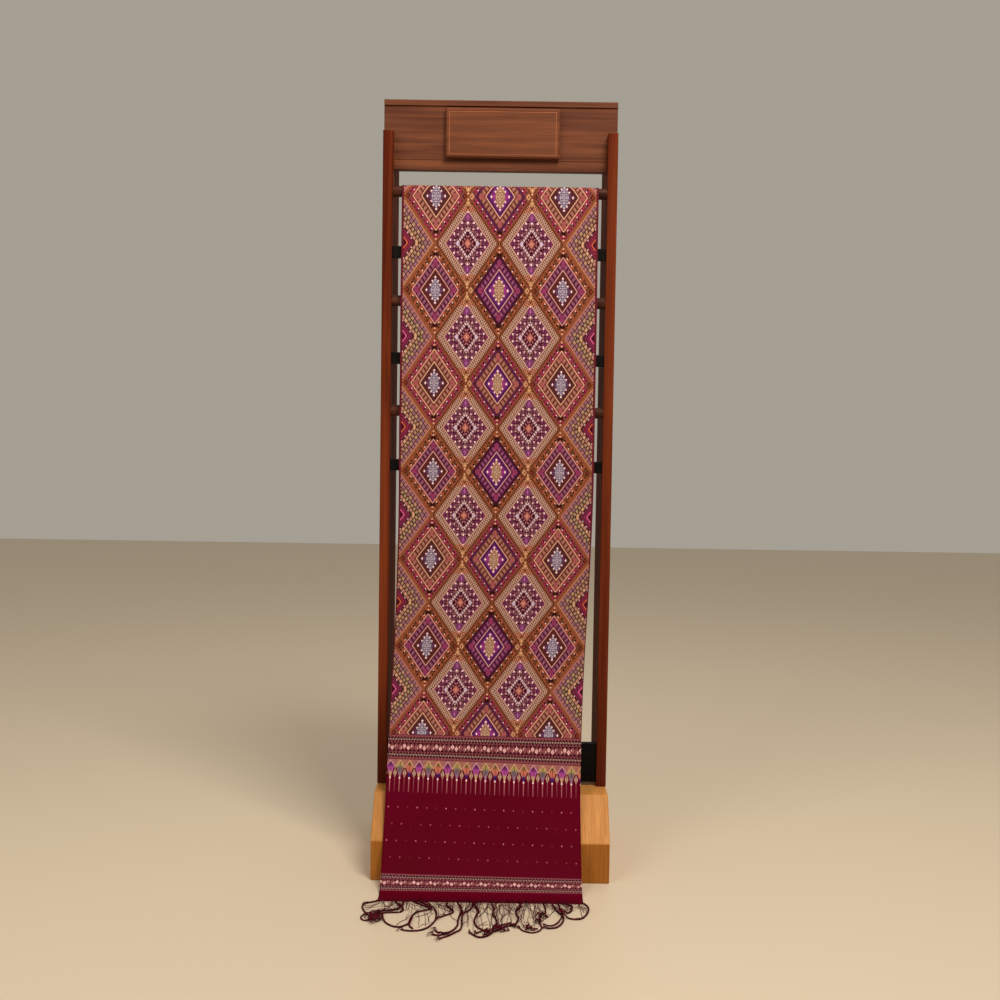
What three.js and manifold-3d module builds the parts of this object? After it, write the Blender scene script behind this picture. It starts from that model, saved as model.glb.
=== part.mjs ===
// Silk shawl on its display stand: a long brocade shawl hung over the top rung of a ladder-like wooden stand.
// Its front end is drawn forward and lies on the floor with its fringe; its back end hangs short behind the rung.
// Millimetres, +Z up. The stand is laid out with X = 0 on its middle, Y = 0 at the front of the feet and
// Z = 0 on the floor, and is then moved so that the middle of the base of its outer box is the origin.
import * as THREE from 'three';
import { mergeVertices } from 'three/addons/utils/BufferGeometryUtils.js';
import Module from 'manifold-3d';

const wasm = await Module();
wasm.setup();

const { smoothstep, lerp } = THREE.MathUtils;

// Stand
const FIT_GAP = 0.3;
const STAND_WIDTH = 606;
const STAND_HEIGHT = 1995;

// Feet: blocks with their front and back top edges cut back to a slope
const FOOT_WIDTH = 90;
const FOOT_DEPTH = 514;
const FOOT_HEIGHT = 204;
const FOOT_FACE_HEIGHT = 102;
const FOOT_SLOPE_RUN = 83;

// Posts: upright boards, slotted at the top for the header
const POST_THICKNESS = 26;
const POST_FRONT = 157;
const POST_DEPTH = 200;
const POST_TOP = 1910;
const SOCKET_DEPTH = 8;
const SOCKET_CLEARANCE = 0.4;

// Header: a board in the posts' slots, a cap on it, a rail under it and a bare plate on its face
const HEADER_FACE = 187;
const HEADER_THICKNESS = 24;
const HEADER_BOTTOM = 1842;
const CAP_THICKNESS = 15;
const CAP_OVERHANG = 4;
const HEADER_RAIL_HEIGHT = 26;
const PLATE_WIDTH = 296;
const PLATE_HEIGHT = 128;
const PLATE_THICKNESS = 16;
const PLATE_CENTRE_X = 5;
const PLATE_CENTRE_Z = 1910;
const PLATE_BEVEL = 4;
const PLATE_LINE_INSET = 9;
const PLATE_LINE_WIDTH = 2;
const PLATE_LINE_DEPTH = 1;

// Cross members between the posts, one above the other in one plane
const RAIL_PLANE = 172.5;
const RUNG_RADIUS = 14.5;
const RUNG_SIDES = 16;
const BAR_DEPTH = 22;
const BAR_HEIGHT = 30;
const RUNG_HEIGHTS = [1757, 1476, 1191];
const BAR_HEIGHTS = [1601, 1327, 1049];
const STRETCHER_THICKNESS = 20;
const STRETCHER_HEIGHT = 104;
const STRETCHER_TOP = 317;
const STRETCHER_PLANE = 177;

// Shawl
const SHAWL_WIDTH = 508;
const FRONT_END_WIDTH = 500;
const SHAWL_LENGTH = 2400;
const SHEET_THICKNESS = 1.6;
const RUNG_GAP = 0.7;
const SHEET_COLUMNS = 16;
const DRAPE_ROWS = { back: 12, over: 10, drop: 28, sweep: 20, floor: 3 };

// Where the front drop starts to sweep forward, and where it meets the floor and ends
const DROP_DEPTH = 150;
const SWEEP_TOP = 700;
const SWEEP_PULL_DOWN = 450;
const FLOOR_PULL_BACK = 45;
const FLOOR_TOUCH = -104;
const HEM_DEPTH = -140;
const BACK_LEAN = 7;

// The front drop draws in from its full width between these heights
const FULL_WIDTH_ABOVE = 1150;
const DRAWN_IN_BELOW = 450;

// The front drop strays to the left on its way down
const STRAY_TOP = 1;
const STRAY_FLOOR = -21;
const STRAY_START = 1000;
const STRAY_END = 150;

// Soft upright folds of the cloth. They stand off the rungs' plane and fade out at both ends.
const FOLDS = [
  { across: -246, spread: 34, proud: 5.0, low: 330, high: 1700, drift: 0 },
  { across: -128, spread: 52, proud: 3.0, low: 420, high: 1560, drift: 26 },
  { across: 20, spread: 70, proud: 3.4, low: 240, high: 1180, drift: -34 },
  { across: 142, spread: 44, proud: 4.4, low: 210, high: 900, drift: 30 },
  { across: 247, spread: 30, proud: 5.6, low: 260, high: 1640, drift: 0 },
];
const FOLD_FADE = 240;

// Fringe
const STRIP_DEPTH = 5;
const STRIP_HEIGHT = 2.2;
const LOCK_PITCH = 35.6;
const THREAD_PITCH = 7;
const GATHERED_PITCH = 5.2;
const GATHERED_AT = 0.55;
const LOCK_SIZE = { width: 3.8, height: 3.2 };
const THREAD_SIZE = { width: 2.2, height: 2 };
const ROOT_SWELL = 0.6;
const TIP_SWELL = 0.5;
const SHORTENING = 0.06;

// Locks of the front fringe from left to right: how far each reaches over the floor, how far its end strays
// sideways, and how much it waves on the way
const FRONT_LOCKS = [
  { reach: 122, sway: -44, wave: -3 },
  { reach: 150, sway: -54, wave: 2 },
  { reach: 164, sway: -56, wave: 5 },
  { reach: 176, sway: -46, wave: 7 },
  { reach: 132, sway: -28, wave: 5 },
  { reach: 206, sway: -42, wave: 7 },
  { reach: 158, sway: -28, wave: 3 },
  { reach: 198, sway: -46, wave: 7 },
  { reach: 146, sway: -32, wave: 6 },
  { reach: 184, sway: -30, wave: 6 },
  { reach: 172, sway: -14, wave: 0 },
  { reach: 154, sway: -6, wave: -2 },
  { reach: 98, sway: 8, wave: 0 },
  { reach: 106, sway: 20, wave: 4 },
];
const FRONT_STEPS = 8;
const FRONT_THREADS_A_SIDE = 2;
const BACK_REACH = 205;
const BACK_STEPS = 4;
const BACK_THREADS_A_SIDE = 1;

const reddishWood = new THREE.MeshStandardMaterial({ color: 0x5a2a18, roughness: 0.5, metalness: 0 });
const lightWood = new THREE.MeshStandardMaterial({ color: 0xc08540, roughness: 0.5, metalness: 0 });
const rungWood = new THREE.MeshStandardMaterial({ color: 0x4a2616, roughness: 0.55, metalness: 0 });
const blackWood = new THREE.MeshStandardMaterial({ color: 0x14100f, roughness: 0.5, metalness: 0 });
const brocadeSilk = new THREE.MeshStandardMaterial({ color: 0x8a3a52, roughness: 0.6, metalness: 0 });
const fringeSilk = new THREE.MeshStandardMaterial({ color: 0x3a0a16, roughness: 0.6, metalness: 0 });

const model = new THREE.Group();

function addPart(name, geometry, material, x = 0, y = 0, z = 0) {
  const mesh = new THREE.Mesh(geometry, material);
  mesh.name = name;
  mesh.position.set(x, y, z);
  model.add(mesh);
}

function toSolid(geometry) {
  const bare = geometry.clone();
  bare.deleteAttribute('normal');
  bare.deleteAttribute('uv');
  const merged = mergeVertices(bare);
  const vertProperties = Float32Array.from(merged.attributes.position.array);
  const triVerts = Uint32Array.from(merged.index.array);
  return new wasm.Manifold(new wasm.Mesh({ numProp: 3, vertProperties, triVerts }));
}

function toGeometry(solid) {
  const { vertProperties, triVerts } = solid.getMesh();
  const geometry = new THREE.BufferGeometry();
  geometry.setAttribute('position', new THREE.BufferAttribute(vertProperties, 3));
  geometry.setIndex(new THREE.BufferAttribute(triVerts, 1));
  geometry.computeVertexNormals();
  return geometry;
}

// A block between two corners
function block(low, high) {
  const size = new THREE.Vector3().subVectors(high, low);
  const middle = new THREE.Vector3().addVectors(low, high).multiplyScalar(0.5);
  return new THREE.BoxGeometry(size.x, size.y, size.z).translate(middle.x, middle.y, middle.z);
}

// A board whose side outline is given as depth and height, with its thickness along X and centred on X = 0
function boardFromSide(outline, thickness) {
  const shape = new THREE.Shape(outline.map(([depth, height]) => new THREE.Vector2(depth, height)));
  const geometry = new THREE.ExtrudeGeometry(shape, { depth: thickness, bevelEnabled: false });
  const turn = new THREE.Matrix4().makeBasis(
    new THREE.Vector3(0, 1, 0),
    new THREE.Vector3(0, 0, 1),
    new THREE.Vector3(1, 0, 0),
  );
  return geometry.translate(0, 0, -thickness / 2).applyMatrix4(turn);
}

// Round and square stock lying along X, centred on the origin
function rungStock(length, grow = 0) {
  const radius = RUNG_RADIUS + grow;
  return new THREE.CylinderGeometry(radius, radius, length, RUNG_SIDES).rotateZ(Math.PI / 2);
}

function barStock(length, depth, height, grow = 0) {
  return new THREE.BoxGeometry(length, depth + 2 * grow, height + 2 * grow);
}

// Feet
const footOutline = [
  [0, 0],
  [FOOT_DEPTH, 0],
  [FOOT_DEPTH, FOOT_FACE_HEIGHT],
  [FOOT_DEPTH - FOOT_SLOPE_RUN, FOOT_HEIGHT],
  [FOOT_SLOPE_RUN, FOOT_HEIGHT],
  [0, FOOT_FACE_HEIGHT],
];
const footX = (STAND_WIDTH - FOOT_WIDTH) / 2;
addPart('foot_left', boardFromSide(footOutline, FOOT_WIDTH), lightWood, -footX);
addPart('foot_right', boardFromSide(footOutline, FOOT_WIDTH), lightWood, footX);

// Cross members: where each sits and the stock it is made of
const crossMembers = [
  ...RUNG_HEIGHTS.map((z, i) => ({
    name: `rung_${i + 1}`,
    stock: rungStock,
    y: RAIL_PLANE,
    z,
    wood: rungWood,
  })),
  ...BAR_HEIGHTS.map((z, i) => ({
    name: `bar_${i + 1}`,
    stock: (length, grow) => barStock(length, BAR_DEPTH, BAR_HEIGHT, grow),
    y: RAIL_PLANE,
    z,
    wood: blackWood,
  })),
  {
    name: 'stretcher',
    stock: (length, grow) => barStock(length, STRETCHER_THICKNESS, STRETCHER_HEIGHT, grow),
    y: STRETCHER_PLANE,
    z: STRETCHER_TOP - STRETCHER_HEIGHT / 2,
    wood: blackWood,
  },
];
const betweenPosts = STAND_WIDTH - 2 * POST_THICKNESS;
const memberLength = betweenPosts + 2 * (SOCKET_DEPTH - FIT_GAP);
for (const { name, stock, y, z, wood } of crossMembers) {
  addPart(name, stock(memberLength), wood, 0, y, z);
}

// Posts, each with a slot for the header and blind sockets for the cross members
const slotFront = HEADER_FACE - FIT_GAP;
const slotBack = HEADER_FACE + HEADER_THICKNESS + FIT_GAP;
const slotBottom = HEADER_BOTTOM - FIT_GAP;
const postBottom = FOOT_HEIGHT + FIT_GAP;
const postBack = POST_FRONT + POST_DEPTH;
const postOutline = [
  [POST_FRONT, postBottom],
  [postBack, postBottom],
  [postBack, POST_TOP],
  [slotBack, POST_TOP],
  [slotBack, slotBottom],
  [slotFront, slotBottom],
  [slotFront, POST_TOP],
  [POST_FRONT, POST_TOP],
];
const postX = (STAND_WIDTH - POST_THICKNESS) / 2;
const socketSpan = betweenPosts + 2 * SOCKET_DEPTH;
for (const [name, side] of [['post_left', -1], ['post_right', 1]]) {
  let post = toSolid(boardFromSide(postOutline, POST_THICKNESS));
  for (const { stock, y, z } of crossMembers) {
    const cutter = stock(socketSpan, SOCKET_CLEARANCE).translate(-side * postX, y, z);
    post = post.subtract(toSolid(cutter));
  }
  addPart(name, toGeometry(post), reddishWood, side * postX);
}

// Header
const headerTop = STAND_HEIGHT - CAP_THICKNESS - FIT_GAP;
const headerBack = HEADER_FACE + HEADER_THICKNESS;
const corner = (x, y, z) => new THREE.Vector3(x, y, z);
addPart(
  'header_board',
  block(
    corner(-STAND_WIDTH / 2, HEADER_FACE, HEADER_BOTTOM),
    corner(STAND_WIDTH / 2, headerBack, headerTop),
  ),
  reddishWood,
);
addPart(
  'header_cap',
  block(
    corner(-STAND_WIDTH / 2, HEADER_FACE - CAP_OVERHANG, STAND_HEIGHT - CAP_THICKNESS),
    corner(STAND_WIDTH / 2, headerBack + CAP_OVERHANG, STAND_HEIGHT),
  ),
  reddishWood,
);
const headerRailHalf = betweenPosts / 2 - FIT_GAP;
const headerRailTop = HEADER_BOTTOM - FIT_GAP;
addPart(
  'header_rail',
  block(
    corner(-headerRailHalf, HEADER_FACE, headerRailTop - HEADER_RAIL_HEIGHT),
    corner(headerRailHalf, headerBack, headerRailTop),
  ),
  reddishWood,
);

// Bare plate: a bevelled board with a fine line cut round its face
const plateShape = new THREE.Shape();
const plateCore = { width: PLATE_WIDTH - 2 * PLATE_BEVEL, height: PLATE_HEIGHT - 2 * PLATE_BEVEL };
plateShape.moveTo(-plateCore.width / 2, -plateCore.height / 2);
plateShape.lineTo(plateCore.width / 2, -plateCore.height / 2);
plateShape.lineTo(plateCore.width / 2, plateCore.height / 2);
plateShape.lineTo(-plateCore.width / 2, plateCore.height / 2);
plateShape.closePath();
const plateBody = new THREE.ExtrudeGeometry(plateShape, {
  depth: PLATE_THICKNESS - 2 * PLATE_BEVEL,
  bevelEnabled: true,
  bevelThickness: PLATE_BEVEL,
  bevelSize: PLATE_BEVEL,
  bevelSegments: 1,
}).translate(0, 0, PLATE_BEVEL);

function plateLineBlock(inset) {
  const width = PLATE_WIDTH - 2 * inset;
  const height = PLATE_HEIGHT - 2 * inset;
  return new THREE.BoxGeometry(width, height, 2 * PLATE_LINE_DEPTH).translate(0, 0, PLATE_THICKNESS);
}
const plateLine = toSolid(plateLineBlock(PLATE_LINE_INSET)).subtract(
  toSolid(plateLineBlock(PLATE_LINE_INSET + PLATE_LINE_WIDTH)),
);
const plate = toGeometry(toSolid(plateBody).subtract(plateLine)).rotateX(Math.PI / 2);
addPart('plate', plate, reddishWood, PLATE_CENTRE_X, HEADER_FACE - FIT_GAP, PLATE_CENTRE_Z);

// The shawl's course seen from the side, as a path of depth and height through the middle of the cloth:
// up behind the rung, over it, down in front and forward on to the floor
const half = SHEET_THICKNESS / 2;
const rung = { y: RAIL_PLANE, z: RUNG_HEIGHTS[0] };
const turnRadius = RUNG_RADIUS + RUNG_GAP + half;
const over = new THREE.EllipseCurve(rung.y, rung.z, turnRadius, turnRadius, 0, Math.PI, false, 0);
const frontTop = new THREE.Vector2(rung.y - turnRadius, rung.z);
const sweepTop = new THREE.Vector2(DROP_DEPTH, SWEEP_TOP);
const floorTouch = new THREE.Vector2(FLOOR_TOUCH, half);
const drop = new THREE.LineCurve(frontTop, sweepTop);
const sweep = new THREE.CubicBezierCurve(
  sweepTop,
  new THREE.Vector2(DROP_DEPTH, SWEEP_TOP - SWEEP_PULL_DOWN),
  new THREE.Vector2(FLOOR_TOUCH + FLOOR_PULL_BACK, half),
  floorTouch,
);
const floor = new THREE.LineCurve(floorTouch, new THREE.Vector2(HEM_DEPTH, half));
const frontLength = [over, drop, sweep, floor].reduce((sum, curve) => sum + curve.getLength(), 0);
const backLength = SHAWL_LENGTH - frontLength;
const backTop = new THREE.Vector2(rung.y + turnRadius, rung.z);
const backEnd = new THREE.Vector2(
  backTop.x + BACK_LEAN,
  backTop.y - Math.sqrt(backLength ** 2 - BACK_LEAN ** 2),
);
const back = new THREE.LineCurve(backEnd, backTop);

const course = [];
for (const [name, curve] of Object.entries({ back, over, drop, sweep, floor })) {
  const points = curve.getSpacedPoints(DRAPE_ROWS[name]);
  const side = name === 'back' ? 1 : -1;
  points.slice(course.length > 0 ? 1 : 0).forEach((point) => course.push({ point, name, side }));
}

// How far the cloth's middle strays sideways at a height of the front drop
function stray(height) {
  return lerp(STRAY_TOP, STRAY_FLOOR, smoothstep(STRAY_START - height, 0, STRAY_START - STRAY_END));
}

// The cloth's width at a height of the front drop
function frontWidth(height) {
  return lerp(FRONT_END_WIDTH, SHAWL_WIDTH, smoothstep(height, DRAWN_IN_BELOW, FULL_WIDTH_ABOVE));
}

// How far the soft folds stand proud of the course
function foldProud(across, height) {
  let proud = 0;
  for (const fold of FOLDS) {
    const along = (height - fold.low) / (fold.high - fold.low);
    const rise = smoothstep(height, fold.low, fold.low + FOLD_FADE);
    const fade = 1 - smoothstep(height, fold.high - FOLD_FADE, fold.high);
    const offset = (across - fold.across - fold.drift * (0.5 - along)) / fold.spread;
    proud += fold.proud * rise * fade * Math.exp(-offset * offset);
  }
  return proud;
}

// Middle surface of the cloth as a grid of points, a row for each step along its course
const grid = course.map(({ point, name, side }) => {
  const onFront = name === 'drop' || name === 'sweep' || name === 'floor';
  const middle = onFront ? stray(point.y) : STRAY_TOP;
  const width = onFront ? frontWidth(point.y) : SHAWL_WIDTH;
  const row = [];
  for (let column = 0; column <= SHEET_COLUMNS; column += 1) {
    const across = width * (column / SHEET_COLUMNS - 0.5);
    const proud = name === 'over' ? 0 : foldProud(across, point.y);
    row.push(new THREE.Vector3(middle + across, point.x + side * proud, point.y));
  }
  return row;
});

// A closed sheet of even thickness about a grid of points
function sheetGeometry(rows, thickness) {
  const rowCount = rows.length;
  const columnCount = rows[0].length;
  const positions = [];
  const index = [];
  const faceSize = rowCount * columnCount;
  for (const side of [1, -1]) {
    rows.forEach((row, i) => {
      row.forEach((point, j) => {
        const before = rows[Math.max(i - 1, 0)][j];
        const after = rows[Math.min(i + 1, rowCount - 1)][j];
        const left = row[Math.max(j - 1, 0)];
        const right = row[Math.min(j + 1, columnCount - 1)];
        const along = new THREE.Vector3().subVectors(after, before);
        const across = new THREE.Vector3().subVectors(right, left);
        const normal = across.cross(along).normalize();
        positions.push(...point.clone().addScaledVector(normal, (side * thickness) / 2).toArray());
      });
    });
  }
  const at = (side, i, j) => side * faceSize + i * columnCount + j;
  const quad = (a, b, c, d) => index.push(a, b, c, a, c, d);
  for (let i = 0; i < rowCount - 1; i += 1) {
    for (let j = 0; j < columnCount - 1; j += 1) {
      quad(at(0, i, j), at(0, i, j + 1), at(0, i + 1, j + 1), at(0, i + 1, j));
      quad(at(1, i, j), at(1, i + 1, j), at(1, i + 1, j + 1), at(1, i, j + 1));
    }
    quad(at(0, i, 0), at(0, i + 1, 0), at(1, i + 1, 0), at(1, i, 0));
    const last = columnCount - 1;
    quad(at(0, i, last), at(1, i, last), at(1, i + 1, last), at(0, i + 1, last));
  }
  for (let j = 0; j < columnCount - 1; j += 1) {
    quad(at(0, 0, j), at(1, 0, j), at(1, 0, j + 1), at(0, 0, j + 1));
    const last = rowCount - 1;
    quad(at(0, last, j), at(0, last, j + 1), at(1, last, j + 1), at(1, last, j));
  }
  const geometry = new THREE.BufferGeometry();
  geometry.setAttribute('position', new THREE.Float32BufferAttribute(positions, 3));
  geometry.setIndex(index);
  geometry.computeVertexNormals();
  return geometry;
}

addPart('shawl', sheetGeometry(grid, SHEET_THICKNESS), brocadeSilk);

// A strand with a three-sided section: its flat side faces away from lift, its ridge stands along lift
function strandGeometry(points, lift, { width, height }) {
  const positions = [];
  const index = [];
  const last = points.length - 1;
  points.forEach((point, i) => {
    const along = new THREE.Vector3().subVectors(points[Math.min(i + 1, last)], points[Math.max(i - 1, 0)]);
    const side = along.cross(lift).normalize();
    const swell = i === 0 ? ROOT_SWELL : i === last ? TIP_SWELL : 1;
    positions.push(...point.clone().addScaledVector(side, (swell * width) / 2).toArray());
    positions.push(...point.clone().addScaledVector(side, (-swell * width) / 2).toArray());
    positions.push(...point.clone().addScaledVector(lift, swell * height).toArray());
  });
  for (let i = 0; i < last; i += 1) {
    for (let k = 0; k < 3; k += 1) {
      const a = 3 * i + k;
      const b = 3 * i + ((k + 1) % 3);
      index.push(a, b, b + 3, a, b + 3, a + 3);
    }
  }
  index.push(0, 2, 1);
  index.push(3 * last, 3 * last + 1, 3 * last + 2);
  const geometry = new THREE.BufferGeometry();
  geometry.setAttribute('position', new THREE.Float32BufferAttribute(positions, 3));
  geometry.setIndex(index);
  return geometry;
}

// One lock and the thin threads beside it, which draw together on their way out. The place of a point is
// given by across, sideways, and out, away from the hem.
function lockStrands(lock, rootAcross, threadsASide, steps, place, lift) {
  const strands = [];
  for (let thread = -threadsASide; thread <= threadsASide; thread += 1) {
    const share = 1 - SHORTENING * ((Math.abs(thread) * 3 + (thread > 0 ? 1 : 0)) % 4);
    const points = [];
    for (let step = 0; step <= steps; step += 1) {
      const t = (share * step) / steps;
      const pitch = lerp(THREAD_PITCH, GATHERED_PITCH, smoothstep(t, 0, GATHERED_AT));
      const drawn = lock.sway * t * t + lock.wave * Math.sin(2 * Math.PI * t) * Math.min(1, 2 * t);
      points.push(place(rootAcross + thread * pitch + drawn, lock.reach * t));
    }
    strands.push(strandGeometry(points, lift, thread === 0 ? LOCK_SIZE : THREAD_SIZE));
  }
  return strands;
}

function fuse(strip, strands) {
  return toGeometry(strands.reduce((sum, strand) => sum.add(toSolid(strand)), toSolid(strip)));
}

// Front fringe: the strip lies just beyond the hem, and the strands rest level on the floor
const hemMiddle = stray(half);
const lockRoots = FRONT_LOCKS.map((lock, i) => (i - (FRONT_LOCKS.length - 1) / 2) * LOCK_PITCH);
const frontStripBack = HEM_DEPTH - FIT_GAP;
const frontStrip = block(
  corner(hemMiddle - FRONT_END_WIDTH / 2, frontStripBack - STRIP_DEPTH, 0),
  corner(hemMiddle + FRONT_END_WIDTH / 2, frontStripBack, STRIP_HEIGHT),
);
const upward = new THREE.Vector3(0, 0, 1);
const onFloor = (across, out) => corner(across, frontStripBack - STRIP_DEPTH / 2 - out, 0);
const frontStrands = FRONT_LOCKS.flatMap((lock, i) =>
  lockStrands(lock, hemMiddle + lockRoots[i], FRONT_THREADS_A_SIDE, FRONT_STEPS, onFloor, upward));
addPart('fringe_front', fuse(frontStrip, frontStrands), fringeSilk);

// Back fringe: the strip is just under the cloth's back end, and the strands hang from it
const backward = new THREE.Vector3(0, 1, 0);
const backStripTop = backEnd.y - FIT_GAP;
const backStripFace = backEnd.x - STRIP_HEIGHT / 2;
const backStrip = block(
  corner(STRAY_TOP - SHAWL_WIDTH / 2, backStripFace, backStripTop - STRIP_DEPTH),
  corner(STRAY_TOP + SHAWL_WIDTH / 2, backStripFace + STRIP_HEIGHT, backStripTop),
);
const hanging = (across, out) => corner(across, backStripFace, backStripTop - STRIP_DEPTH / 2 - out);
const backStrands = FRONT_LOCKS.flatMap(({ sway, wave }, i) =>
  lockStrands(
    { reach: BACK_REACH - Math.abs(wave), sway: sway / 6, wave: wave / 3 },
    STRAY_TOP + lockRoots[i],
    BACK_THREADS_A_SIDE,
    BACK_STEPS,
    hanging,
    backward,
  ));
addPart('fringe_back', fuse(backStrip, backStrands), fringeSilk);

// Move everything so that the origin is the middle of the base of the outer box
const box = new THREE.Box3().setFromObject(model);
const middle = box.getCenter(new THREE.Vector3());
model.position.set(-middle.x, -middle.y, -box.min.z);

export default model;
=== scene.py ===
import math
import random

import bmesh
import bpy
import numpy as np
from mathutils import Matrix, Vector


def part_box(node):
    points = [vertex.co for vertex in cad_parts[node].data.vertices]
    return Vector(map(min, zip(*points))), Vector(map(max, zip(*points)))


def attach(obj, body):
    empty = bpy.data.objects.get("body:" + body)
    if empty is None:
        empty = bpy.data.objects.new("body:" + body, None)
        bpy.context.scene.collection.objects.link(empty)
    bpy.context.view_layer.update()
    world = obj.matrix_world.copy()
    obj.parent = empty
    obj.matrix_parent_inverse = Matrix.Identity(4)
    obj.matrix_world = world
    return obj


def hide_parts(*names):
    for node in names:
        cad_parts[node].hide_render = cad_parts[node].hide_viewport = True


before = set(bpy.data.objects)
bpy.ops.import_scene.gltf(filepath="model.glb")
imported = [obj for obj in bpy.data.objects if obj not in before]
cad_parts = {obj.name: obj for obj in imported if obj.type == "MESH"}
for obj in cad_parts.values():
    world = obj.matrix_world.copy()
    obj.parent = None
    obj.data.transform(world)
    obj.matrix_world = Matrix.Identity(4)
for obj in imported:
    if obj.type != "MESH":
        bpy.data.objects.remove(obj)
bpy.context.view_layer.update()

# The view: a camera with a normal lens about three metres in front of the feet, a little above the middle
# of the stand and looking slightly down on it.
FEET_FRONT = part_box("foot_left")[0].y
CAMERA_PLACE = Vector((0.018, FEET_FRONT - 3.107, 1.148))
TURN_LEFT = math.radians(0.11)
LOOK_DOWN = math.radians(3.28)
ROLL = math.radians(0.84)
LENS_MM = 45


def placed(name, data):
    """A new object in the scene."""
    item = bpy.data.objects.new(name, data)
    bpy.context.scene.collection.objects.link(item)
    return item


ahead = Vector((
    -math.sin(TURN_LEFT) * math.cos(LOOK_DOWN),
    math.cos(TURN_LEFT) * math.cos(LOOK_DOWN),
    -math.sin(LOOK_DOWN),
))
level_right = Vector((math.cos(TURN_LEFT), math.sin(TURN_LEFT), 0))
level_down = ahead.cross(level_right)
right = math.cos(ROLL) * level_right - math.sin(ROLL) * level_down
down = math.sin(ROLL) * level_right + math.cos(ROLL) * level_down
camera_data = bpy.data.cameras.new("view")
camera_data.lens = LENS_MM
camera = placed("view", camera_data)
turn = Matrix((right, -down, -ahead)).transposed()
camera.matrix_world = Matrix.Translation(CAMERA_PLACE) @ turn.to_4x4()
bpy.context.scene.camera = camera

# Studio: a pale level floor, pale surroundings and three soft lamps, which stand at places measured from the
# feet's front. None of it belongs to the stand.
FLOOR_HALF_SIZE = 9.0
FLOOR_DROP = 0.0003
FLOOR_COLOUR = (0.70, 0.59, 0.44, 1)
SURROUND_COLOUR = (0.90, 0.82, 0.70, 1)
SURROUND_STRENGTH = 0.42
LAMPS = [
    {"name": "key", "place": (1.1, -2.2, 4.5), "size": 1.4, "watts": 158, "tint": (1, 0.93, 0.83)},
    {"name": "fill", "place": (-2.2, -2.6, 3.5), "size": 2.0, "watts": 44, "tint": (1, 0.94, 0.86)},
    {"name": "rear", "place": (1.0, 2.8, 4.0), "size": 2.0, "watts": 14, "tint": (1, 0.95, 0.88)},
]
LAMP_TARGET = Vector((0, FEET_FRONT + 0.1, 0.95))

floor_mesh = bpy.data.meshes.new("floor")
floor_corners = [(-1, -1), (1, -1), (1, 1), (-1, 1)]
floor_mesh.from_pydata(
    [(x * FLOOR_HALF_SIZE, y * FLOOR_HALF_SIZE, -FLOOR_DROP) for x, y in floor_corners], [], [(0, 1, 2, 3)]
)
floor = placed("floor", floor_mesh)
floor_material = bpy.data.materials.new("pale floor")
floor_material.use_nodes = True
floor_shader = floor_material.node_tree.nodes["Principled BSDF"]
floor_shader.inputs["Base Color"].default_value = FLOOR_COLOUR
floor_shader.inputs["Roughness"].default_value = 0.42
floor_mesh.materials.append(floor_material)

world = bpy.data.worlds.new("surroundings")
world.use_nodes = True
world.node_tree.nodes["Background"].inputs["Color"].default_value = SURROUND_COLOUR
world.node_tree.nodes["Background"].inputs["Strength"].default_value = SURROUND_STRENGTH
bpy.context.scene.world = world
bpy.context.scene.view_settings.view_transform = "Standard"
for lamp in LAMPS:
    light = bpy.data.lights.new(lamp["name"], "AREA")
    light.size = lamp["size"]
    light.energy = lamp["watts"]
    light.color = lamp["tint"]
    lamp_object = placed(lamp["name"], light)
    lamp_object.location = Vector(lamp["place"]) + Vector((0, FEET_FRONT, 0))
    lamp_object.rotation_euler = (lamp_object.location - LAMP_TARGET).to_track_quat("Z", "Y").to_euler()

# Feet: two blocks of pale orange wood with sloped ends, oiled and lightly rubbed, with their grain running
# from front to back.


def colour(red, green, blue):
    """A display colour, 0 to 255, as linear light."""
    values = [value / 255 for value in (red, green, blue)]
    linear = [v / 12.92 if v <= 0.04045 else ((v + 0.055) / 1.055) ** 2.4 for v in values]
    return (*linear, 1.0)


def feed(tree, node, sources):
    """Give a node's inputs their plain values, or the outputs that lead into them."""
    for socket, source in sources.items():
        if isinstance(source, bpy.types.NodeSocket):
            tree.links.new(source, node.inputs[socket])
        else:
            node.inputs[socket].default_value = source


def added(tree, kind, sources, **settings):
    """Add a node to a tree, set it and feed it."""
    node = tree.nodes.new(kind)
    for setting, value in settings.items():
        setattr(node, setting, value)
    feed(tree, node, sources)
    return node


def two_tones(tree, share, dark_until, dark, pale_from, pale):
    """The dark tone up to one share, the pale one from another, and a blend between them."""
    ramp = added(tree, "ShaderNodeValToRGB", {"Fac": share})
    ramp.color_ramp.elements[0].position = dark_until
    ramp.color_ramp.elements[0].color = colour(*dark)
    ramp.color_ramp.elements[1].position = pale_from
    ramp.color_ramp.elements[1].color = colour(*pale)
    return ramp.outputs["Color"]


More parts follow.
